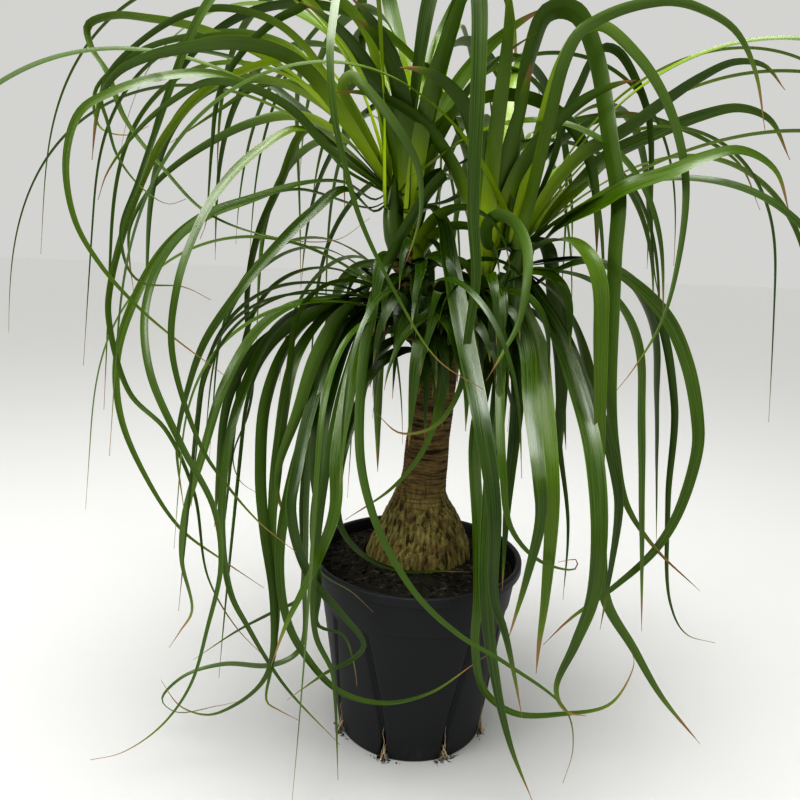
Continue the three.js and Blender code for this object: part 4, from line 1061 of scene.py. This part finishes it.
def blocked(points, margin):
    """True where a point is nearer than margin to the pot, soil, trunk or stems, or on the floor."""
    x, y, z = points.T
    r = np.hypot(x, y)
    proud = np.where(z < FOOT_TOP, FOOT_ROOM, WALL_ROOM)
    inside = (z < POT_HEIGHT + margin) & (r < np.minimum(pot_radius(z) + proud, RIM_RADIUS) + margin)
    in_pot = inside & ((r > RIM_RADIUS - RIM_ROOM) | (z < soil_level(r) + SOIL_ROOM))
    beside = np.hypot(x - trunk_x(z), y) < trunk_radius(z) + TRUNK_ROOM + margin
    in_trunk = (z > TRUNK_Z[0]) & (z < TRUNK_Z[-1]) & beside
    by_stem = (z > STEMS_BAND[0]) & (z < STEMS_BAND[1]) & near_stem(points, margin)
    return (z < FLOOR_REST) | in_pot | in_trunk | by_stem


def slide_clear(points, width):
    """Slides blocked parts of a drawn leaf towards the eye, and eases its depth on both sides."""
    count = len(points)
    ways = (points - EYE) / (points[:, 1:2] - EYE[1])
    margin = 0.5 * blade_width(width, shares(count)) + BLADE_ROOM
    free = points[:, 1].copy()
    held = np.arange(count) > FREE_SAMPLES
    while True:
        stuck = held & (free > NEAREST_DEPTH) & blocked(at_depth(ways, free), margin)
        if not stuck.any():
            break
        free[stuck] -= SLIDE_STEP
    depths = free.copy()
    for _ in range(SLIDE_EASINGS):
        eased = depths.copy()
        eased[1:-1] = (depths[:-2] + 2 * depths[1:-1] + depths[2:]) / 4
        depths = np.minimum(free, eased)
    return at_depth(ways, depths)


def root_of(core, aim):
    """Flat leaves leave the core low down and outside, steep ones higher up and nearer its middle."""
    low = core_row(core, 0.3)
    way = unit(aim - low)
    steep = smooth((way[2] + 0.1) / 1.1)
    level = unit(np.array([way[0], way[1], 0]))
    return core_row(core, mix(0.36, 0.8, steep)) + level * core[2] * mix(0.8, 0.25, steep)


def drawn_midrib(core, row, bend):
    """A leaf drawn on the sheet, which comes to its depth by about mid length."""
    directions = sight(row[2::2], row[3::2])
    depth = row[1] + bend
    root = root_of(core, at_depth(directions[0], mix(core[0][1], depth, 0.12)))
    flat = np.vstack([root, at_depth(directions, np.full(len(directions), root[1]))])
    run = np.cumsum(np.linalg.norm(np.diff(flat, axis=0), axis=-1))
    placed = at_depth(directions, mix(root[1], depth, smooth(run / (0.55 * run[-1]))))
    return slide_clear(evenly(np.vstack([root, placed])), row[0])


def arched_midrib(root, azimuth, launch, span, hang):
    """A leaf by rule: its slope falls smoothly from launch to hanging as it runs out."""
    steps = nearest(span / SAMPLE)
    share = np.arange(steps) / steps
    slope = mix(launch, HANGING, smooth(share / hang))
    turn = azimuth + 0.35 * np.sin(3 * share + 9 * launch)
    ways = np.stack([np.cos(slope) * np.cos(turn), np.cos(slope) * np.sin(turn), np.sin(slope)], -1)
    return np.vstack([root, root + np.cumsum(ways, axis=0) * SAMPLE])


def ways_along(points):
    """The direction in which a midrib runs at each of its points."""
    ahead = np.vstack([points[1:], points[-1:]])
    behind = np.vstack([points[:1], points[:-1]])
    return unit(ahead - behind)


def across_of(points, twist):
    """Crosswise directions: level at the root, carried on without needless turning, then twisted."""
    ways = ways_along(points)
    last = len(points) - 1
    away = points[nearest(0.3 * last)] - points[0]
    across = unit(np.array([away[1], -away[0], 0.0]))
    carried = np.empty_like(points)
    for i, way in enumerate(ways):
        across = across - way * float(across @ way)
        across = across / math.sqrt(float(across @ across))
        carried[i] = across
    angle = (twist * smooth(shares(len(points))))[:, None]
    return carried * np.cos(angle) + np.cross(ways, carried) * np.sin(angle)


# A map of small cells for each head marks where its leaves are, and keeps the other heads out.
CELL = 6.5
DOTS_ACROSS = np.array([-1, -0.5, 0, 0.5, 1])
MAP_ORIGIN = np.array([-620, -520, -20])
MAP_SIZE = (200, 170, 150)
AROUND = np.array([(a, b, c) for a in (-1, 0, 1) for b in (-1, 0, 1) for c in (-1, 0, 1)])


def blade_dots(leaf):
    """Places over a leaf's width at each point of its midrib."""
    points, across, width = leaf["points"], leaf["across"], leaf["width"]
    half = 0.5 * blade_width(width, shares(len(points)))
    dots = points[:, None] + across[:, None] * (half[:, None] * DOTS_ACROSS)[..., None]
    return dots.reshape(-1, 3)


def cells_of(dots):
    return np.floor((dots - MAP_ORIGIN) / CELL).astype(int)


def mark(cell_map, dots):
    """Marks the cells that hold the dots, and the cells round them."""
    cells = (cells_of(dots)[:, None] + AROUND).reshape(-1, 3)
    cell_map[cells[:, 0], cells[:, 1], cells[:, 2]] = True


def is_free(maps, head, dots):
    """True where no other head has marked a cell that holds one of the dots."""
    i, j, k = cells_of(dots).T
    return not any(cell_map[i, j, k].any() for name, cell_map in maps.items() if name != head)


def leaf_of(points, width, twist):
    across = across_of(points, twist)
    return {"points": points, "width": width, "across": across, "facing": PLAIN_FACING, "look": None}


def swing(attempt):
    """0, then -1, 1, -2, 2 and so on for one attempt after another."""
    return (-1 if attempt % 2 else 1) * math.ceil(attempt / 2)


def place_drawn(core, row, twist, fits):
    """The drawn leaf at the first depth at which it fits, or nothing."""
    for attempt in range(DRAWN_TRIES):
        leaf = leaf_of(drawn_midrib(core, row, DRAWN_SHIFT * swing(attempt)), row[0], twist)
        if fits(leaf):
            return leaf
    return None


def place_arched(core, form, twist, fits):
    """The leaf by rule at the first compass direction at which it is clear and fits, or nothing."""
    for attempt in range(ARCHED_TRIES):
        azimuth = form["azimuth"] + ARCHED_SHIFT * swing(attempt)
        way = np.array([math.cos(azimuth), math.sin(azimuth), math.tan(form["launch"])])
        root = root_of(core, core_row(core, 0.3) + way)
        points = arched_midrib(root, azimuth, form["launch"], form["span"], form["hang"])
        leaf = leaf_of(points, form["width"], twist)
        margin = 0.5 * blade_width(form["width"], np.arange(len(points)) / len(points)) + 2
        clear = not blocked(points, margin)[FREE_SAMPLES + 1:].any()
        if clear and fits(leaf):
            return leaf
    return None


def ruled_form(draw, i, rule, manner):
    """Leaf i of a rule: its direction by its step of the sweep, its slope by golden steps."""
    count, sweep, launch, span, width, hang = rule
    start, reach, sway, narrow = manner
    return {
        "azimuth": mix(*sweep, (i + start + reach * draw()) / count) * DEGREE,
        "launch": mix(*launch, (i * GOLDEN + sway * draw()) % 1) * DEGREE,
        "span": mix(*span, draw()),
        "hang": mix(*hang, draw()),
        "width": width * mix(narrow, WIDEST_DRAW, draw()),
    }


def head_leaves(head, maps):
    """The leaves of one head's solid: the drawn ones, then those that its rule places round it."""
    core, draw = core_of(head), Draws(LEAF_SEEDS[head])
    leaves = []

    def fits(leaf):
        return is_free(maps, head, blade_dots(leaf)[len(DOTS_ACROSS) * FREE_SAMPLES:])

    def keep(leaf, **manner):
        if leaf:
            leaves.append(leaf | manner)
            mark(maps[head], blade_dots(leaf))

    for number, row in enumerate(DRAWN[head]):
        leaf = place_drawn(core, row, mix(-40, 40, draw()) * DEGREE, fits)
        facing = 0.45 + 0.5 * (number * GOLDEN % 1)
        keep(leaf, facing=facing, look=LOOKS[head].get(number, PLAIN_LOOK))
    for rule in SPREAD[head]:
        for i in range(rule[0]):
            form = ruled_form(draw, i, rule, SPREAD_DRAW)
            keep(place_arched(core, form, mix(-50, 50, draw()) * DEGREE, fits), look=SPREAD_LOOK)
    return leaves


BOX_ROOM = 9
BOX_SKIN = 0.4


def in_box(leaf):
    """True where a leaf stays well inside the box of the whole solid object."""
    points = leaf["points"]
    return bool(((points > BOX_LOW + BOX_ROOM) & (points < BOX_HIGH - BOX_ROOM)).all())


def fill_leaves(head):
    """The seeded leaves that fill out one head, each kept clear of the pot, trunk and stems."""
    core, draw = core_of(head), Draws(LEAF_SEEDS[head] + 50)
    start, way, radius, _ = core
    sheath = (start - SHEATH_DROP * way, way, SHEATH_SPREAD * radius, SHEATH_LENGTH)
    leaves = []
    for rule in FILL[head]:
        base = sheath if rule[2][0] > SHEATH_LAUNCH else core
        for i in range(rule[0]):
            form = ruled_form(draw, i, rule, FILL_DRAW)
            leaves.append(place_arched(base, form, mix(-80, 80, draw()) * DEGREE, in_box))
    return [leaf for leaf in leaves if leaf]


def clothing_leaves(head):
    """Short leaves that leave a stem all round it, flat or drooping."""
    path, radii = STEMS[head]
    places, draw = evenly(path, 1), Draws(LEAF_SEEDS[head] + 90)
    leaves = []
    for i in range(CLOTHING[head]):
        share = mix(0.05, CLOTHING_TOP, (i + draw()) / CLOTHING[head])
        place = places[int(share * (len(places) - 1))]
        radius = float(np.interp(share, np.linspace(0, 1, len(radii)), radii))
        form = {
            "azimuth": (i * GOLDEN_ANGLE + 20 * draw() if i % 2 else mix(*CLOTHING_FRONT, draw())) * DEGREE,
            "launch": mix(0, 72, draw()) * DEGREE,
            "span": mix(*CLOTHING_SPAN, draw()),
            "hang": mix(0.6, 1.2, draw()),
            "width": CLOTHING_WIDTH * mix(0.8, 1.15, draw()),
        }
        stub = (place, UP, radius, 6)
        leaves.append(place_arched(stub, form, mix(-60, 60, draw()) * DEGREE, in_box))
    return [leaf | {"look": CLOTHING_LOOK} for leaf in leaves if leaf]


# Fine blades

# Places across a blade, from edge to edge, for leaves that stand out and for those that fill.
FINE_SIDES = np.array([-1, -0.72, -0.38, 0, 0.38, 0.72, 1])
PLAIN_SIDES = np.array([-1, -0.5, 0, 0.5, 1])
BLADE_THICK = 0.6
BLADE_TIP = 0.5
BASE_TAPER = 0.05
BROADER = 1.12
CHANNEL = 0.22
EDGE_WAVE = 0.04
LEAF_CREASE = 50 * DEGREE
# How long a leaf without a look of its own holds its width, by its length.
FULLNESS = ([280, 460, 640], [3.2, 1.9, 1.15])


def full_width(leaf, s):
    """A fine blade's width: by its look, or full for longer on a short leaf, and ending in a hair."""
    broad, held = leaf["look"] or (1.0, np.interp(SAMPLE * len(s), *FULLNESS))
    taper = np.maximum(0, 1 - s**held) ** 0.9
    return np.maximum(BLADE_TIP, BROADER * broad * leaf["width"] * taper * mix(0.86, 1, smooth(s / 0.12)))


def faced(leaf):
    """Crosswise directions, turned part of the way to where the blade shows its flat side in front."""
    points, across = leaf["points"], leaf["across"]
    ways, count = ways_along(points), len(points)
    flat = unit(np.cross(ways, EYE - points))
    angle = np.arctan2((np.cross(across, flat) * ways).sum(-1), (across * flat).sum(-1))
    angle = np.unwrap(angle, period=math.pi)
    angle -= math.pi * np.round(angle[count // 2] / math.pi)
    for _ in range(FACING_EASINGS):
        angle[1:-1] = (angle[:-2] + 2 * angle[1:-1] + angle[2:]) / 4
    turn = (leaf["facing"] * smooth(np.arange(count) / (0.35 * count)) * angle)[:, None]
    return across * np.cos(turn) + np.cross(ways, across) * np.sin(turn)


def blade_shell(leaf, tone, seed, top_sides):
    """A channelled strap: a thin section carried along the midrib.

    Across the blade, it lifts by the power 1.2 of the distance from the midrib, its edges wave by a
    sine of the place along it, and its underside lies lower by a thickness that thins to the edges.
    """
    points, across = leaf["points"], faced(leaf)
    count = len(points)
    s = shares(count)
    ways = ways_along(points)
    face = np.cross(across, ways)
    half = 0.5 * full_width(leaf, s) * mix(0.45, 1, smooth(s / BASE_TAPER))
    side = np.concatenate([top_sides, top_sides[-2:0:-1]])
    below = np.concatenate([np.zeros(len(top_sides)), np.ones(len(top_sides) - 2)])
    channel = CHANNEL * mix(1.2, 0.4, smooth(s * 1.6))
    rise = (half * channel)[:, None] * np.abs(side) ** 1.2
    phase = s[:, None] * 31 + seed * 1.7 + side * 1.1
    wave = EDGE_WAVE * half[:, None] * np.sign(side) * np.abs(side) ** 3 * np.sin(phase)
    thick = BLADE_THICK * np.minimum(1, 0.35 + half / 6)[:, None] * (1 - 0.55 * side**2)
    lift = rise + wave - below * thick
    spread = across[:, None] * (half[:, None] * side)[..., None]
    rings = points[:, None] + spread + face[:, None] * lift[..., None]
    shell_points, faces = skin(rings[:, ::-1])
    # How steeply a leaf starts sets both its young lime and the painted light on its lower blade.
    steep = float(ways[min(3, count - 1)][2])
    marks = {
        "along": np.repeat(s, len(side)), "side": np.tile(side[::-1], count),
        "under": np.tile(below[::-1], count), "tone": tone, "fresh": float(smooth((steep - 0.45) / 0.45)),
    }
    return shell_points, faces, marks


def core_shell(core):
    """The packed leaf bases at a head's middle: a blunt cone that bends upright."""
    share = np.linspace(0, 1, 16)
    path = np.array([core_row(core, t) for t in share])
    path[0] -= 4 * core[1]
    radii = core[2] * np.interp(share, [0, 0.2, 0.45, 0.7, 1], [0.9, 0.92, 0.75, 0.5, 0.15])
    points, faces = strand(path, radii, 28)
    zeros = np.zeros(len(points))
    return points, faces, {"along": zeros, "tone": 0.2, "side": zeros, "under": zeros, "fresh": 0.3}


def leaf_piece(name, leaves, seed, tones, extra, top_sides):
    """One piece of several blades, held inside the box of the solid object."""
    rng = np.random.default_rng(seed)
    shades = rng.uniform(*tones, len(leaves))
    shells = [blade_shell(leaf, shades[i], i, top_sides) for i, leaf in enumerate(leaves)]
    points, faces, marks = gather(list(extra) + shells)
    piece = make_mesh(name, np.clip(points, BOX_LOW + BOX_SKIN, BOX_HIGH - BOX_SKIN), faces, marks)
    piece.data.set_sharp_from_angle(angle=LEAF_CREASE)
    return piece


def make_heads(material):
    """Each head's leaves in place of its solid, then the leaves that fill it and that clothe its stem."""
    maps = {head: np.zeros(MAP_SIZE, dtype=bool) for head in STEMS}
    for head in maps:
        core = core_of(head)
        mark(maps[head], np.array([core_row(core, t) for t in np.arange(0, 1.01, 0.1)]))
    for head in maps:
        seed, core = LEAF_SEEDS[head], core_shell(core_of(head))
        leaves = head_leaves(head, maps)
        piece = leaf_piece(f"leaves_{head}", leaves, seed, (0, 1), [core], FINE_SIDES)
        dress(piece, "leaf", material, f"head_{head}")
        fill = leaf_piece(f"fill_{head}", fill_leaves(head), seed + 1, (0, 1), (), PLAIN_SIDES)
        dress(fill, "leaf", material)
        short = clothing_leaves(head)
        clothing = leaf_piece(f"clothing_{head}", short, seed + 2, (0, 0.35), (), PLAIN_SIDES)
        dress(clothing, "leaf", material)


# Roots at the pot's foot

# Each root: its flute, its radius, and its places aside, out from the wall and up.
ROOTS = [
    (6, 1.1, [[0, -4.4, 12], [0, -1, 11], [0.4, 2.2, 8], [1, 4.4, 4], [-1, 7, 1.6]]),
    (7, 0.9, [[1, -4.4, 9], [1, -1, 8.5], [0, 2, 6.5], [-1, 4, 3], [-1, 6.5, 1.4]]),
    (0, 0.8, [[0, -4.4, 13], [0, -1, 12], [1, 1.8, 9], [3, 3.2, 4.5], [6, 4, 1.3]]),
    (1, 1.5, [[0, -4.2, 12], [0, -1, 11], [0.3, 2.6, 9], [-1, 4.6, 4.6], [-4, 5, 2]]),
]


def beside_pot(flute, rows):
    """Places given as distance aside, distance out from the pot's face, and height, at one flute."""
    rows = np.asarray(rows, dtype=float)
    out, aside = bearings_at(flute)
    reach = pot_radius(rows[:, 2]) + rows[:, 1]
    return out * reach[:, None] + aside * rows[:, :1] + UP * rows[:, 2:]


def make_roots(material):
    """The pale roots in place of their solids: tapering circles along paths that wander a little."""
    for number, (flute, radius, rows) in enumerate(ROOTS, 1):
        path = evenly(beside_pot(flute, rows), 0.8)
        share = np.linspace(0, 1, len(path))
        path += 0.18 * np.stack([np.sin(share * 19), np.cos(share * 23), 0 * share], -1)
        radii = radius * np.interp(share, [0, 0.5, 0.75, 1], [1, 0.95, 0.85, 0.5])
        radii = radii * (1 + 0.08 * np.sin(share * 40))
        points, faces = strand(path, radii, 12)
        dress(make_mesh(f"root_strand_{number}", points, faces), "root", material, f"root_{number}")


RUNNER = [[0.4, -3, 37], [-0.6, -0.9, 30], [0.7, -0.6, 20], [-0.4, -0.4, 10], [0.6, 1.6, 1.6]]
ROOTLET_FLUTES = (6, 7, 0, 1, 2, 4)
ROOTLETS = 5
FOOT_CRUMBS = 26
FOOT_HAIRS = 12


def make_foot_litter(soil_finish, fibre_finish):
    """Dark crumbs and fine hairs washed out of the notches, lying round the pot's foot."""
    rng = np.random.default_rng(55)
    crumbs, hairs = [], []
    for flute in range(FLUTE_COUNT):
        for _ in range(FOOT_CRUMBS):
            aside, out = rng.normal(0, 6), 1 + abs(rng.normal(0, 2.6))
            size = rng.uniform(0.3, 1.1)
            place = beside_pot(flute, [[aside, out, size * 0.7], [aside + size, out, size * 0.8]])
            crumbs.append((*strand(place, [size * 0.8, size * 0.6], 6), {}))
        for _ in range(FOOT_HAIRS):
            aside, step = rng.normal(0, 4), rng.uniform(0.8, 2.2)
            drift = np.cumsum(rng.normal(0, 1.0, 6))
            rows = [[aside + drift[i], 0.6 + i * step * 0.8, max(0.4, 5 - 1.6 * i)] for i in range(6)]
            path = evenly(beside_pot(flute, rows), 1.5)
            hairs.append((*strand(path, np.linspace(0.28, 0.1, len(path)), 4), {"tone": 0.3 * rng.random()}))
    dress(make_mesh("foot_crumbs", *gather(crumbs), shade_smooth=False), "soil", soil_finish)
    dress(make_mesh("foot_hairs", *gather(hairs)), "root", fibre_finish)


def make_rootlets(material):
    """Thin seeded rootlets that straggle from the notches down to the floor, and a runner in each."""
    rng = np.random.default_rng(77)
    parts = []
    for flute, radius, _ in ROOTS:
        path = evenly(beside_pot(flute, RUNNER), 1)
        points, faces = strand(path, np.linspace(0.4, 0.9, len(path)) * radius * 0.7, 9)
        parts.append((points, faces, {"tone": 0.8}))
    for flute in ROOTLET_FLUTES:
        for _ in range(ROOTLETS):
            high = rng.uniform(6, 24)
            side = rng.uniform(-1, 1) * NOTCH_HALF_WIDTH * 0.6 * (1 - high / NOTCH_HEIGHT)
            drift = rng.normal(0, 2.5, 3)
            rows = [[side, -3.8, high], [side, -0.5, high - 0.5], [side + 0.3 * drift[0], 1.6, high * 0.75],
                    [side + 0.7 * drift[1], 2.4, high * 0.4], [side + drift[2], 3.2, 0.7]]
            path = evenly(beside_pot(flute, rows), 1.2)
            points, faces = strand(path, np.linspace(0.34, 0.16, len(path)) * rng.uniform(0.7, 1.3), 5)
            parts.append((points, faces, {"tone": rng.random()}))
    dress(make_mesh("rootlets", *gather(parts)), "root", material)


# Floor, light and camera

# Lengths here are in metres. Each lamp: its name, place, aim, size and watts.
FLOOR_SIZE = 60
FLOOR_GREY = (0.57, 0.57, 0.56)
SKY_WHITE = (1.0, 1.0, 0.98)
SKY_STRENGTH = 0.49
LAMPS = [
    ("top_softbox", (0.1, -0.1, 1.9), (0, 0, 0.3), 0.8, 16),
    ("left_softbox", (-1.7, -0.9, 1.1), (0, 0, 0.3), 0.7, 13),
    ("front_fill", (0.9, -1.9, 1.2), (0, 0, 0.35), 1.2, 1),
]
OVERHEAD_STRENGTH = 1.05
OVERHEAD_SPREAD = 55 * DEGREE
OVERHEAD_TILT = (14 * DEGREE, -10 * DEGREE, 0)
LENS_START = 0.02


def make_stage():
    """The plain pale floor that the pot stands on."""
    floor_material = Finish("floor", Roughness=0.6).wear(Base_Color=rgb(*FLOOR_GREY))
    bpy.ops.mesh.primitive_plane_add(size=FLOOR_SIZE)
    floor = bpy.context.object
    floor.name = "floor"
    floor.data.materials.append(floor_material)


def stand(made, place, right, up, back):
    """Puts a lamp or a camera at a place, given where its own X, Y and Z point."""
    turned = Matrix(np.stack([right, up, back], -1).tolist()).to_4x4()
    turned.translation = place
    made.matrix_world = turned


def area_light(name, place, aim, size, power):
    """A square lamp at a place, turned to face its aim."""
    lamp = bpy.data.lights.new(name, "AREA")
    lamp.shape, lamp.size, lamp.energy = "SQUARE", size, power
    back = unit(place - np.array(aim, dtype=float))
    right = unit(np.cross(UP if abs(back[2]) < 0.98 else [0, 1.0, 0], back))
    stand(link(name, lamp), place, right, np.cross(back, right), back)


def overhead_light():
    """Very soft light from above, leaning a little to the front and the left."""
    sky = bpy.data.lights.new("overhead", "SUN")
    sky.energy, sky.angle = OVERHEAD_STRENGTH, OVERHEAD_SPREAD
    link("overhead", sky).rotation_euler = OVERHEAD_TILT


def make_light():
    """An even pale surround, three lamps and the light from above."""
    bpy.context.scene.view_settings.view_transform = "Standard"
    bpy.context.scene.view_settings.look = "High Contrast"
    world = bpy.data.worlds.new("studio")
    world.use_nodes = True
    background = world.node_tree.nodes["Background"]
    background.inputs["Color"].default_value = rgb(*SKY_WHITE)
    background.inputs["Strength"].default_value = SKY_STRENGTH
    bpy.context.scene.world = world
    for lamp in LAMPS:
        area_light(*lamp)
    overhead_light()


def make_camera():
    """The camera at the eye, pitched down, rolled a little, and set to frame the drawing sheet."""
    camera = bpy.data.cameras.new("view")
    camera.sensor_width = SENSOR
    camera.lens = SENSOR * SHEET_DISTANCE / SHEET_SIZE
    camera.clip_start = LENS_START
    ahead = np.array([0, math.cos(EYE_PITCH), -math.sin(EYE_PITCH)])
    level = np.array([1.0, 0, 0])
    above = np.array([0, math.sin(EYE_PITCH), math.cos(EYE_PITCH)])
    right = level * math.cos(EYE_ROLL) + above * math.sin(EYE_ROLL)
    up = above * math.cos(EYE_ROLL) - level * math.sin(EYE_ROLL)
    view = link("view", camera)
    stand(view, (EYE * METRE).tolist(), right, up, -ahead)
    bpy.context.scene.camera = view


make_camera()
make_stage()
make_light()

dress(make_pot(), "pot", pot_material(), "pot")
soil_finish = soil_material()
dress(make_soil(), "soil", soil_finish, "soil")
dress(make_crumbs(), "soil", soil_finish)
fibre_finish = fibre_material()
dress(make_fibres(), "soil", fibre_finish)
dress(make_trunk(), "bark", bark_material(), "trunk")
make_heads(leaf_material())
root_finish = root_material()
make_roots(root_finish)
make_rootlets(root_finish)
make_foot_litter(soil_finish, fibre_finish)


def plain(box):
    """A box's two corners as plain lists."""
    return [[float(value) for value in corner] for corner in box]
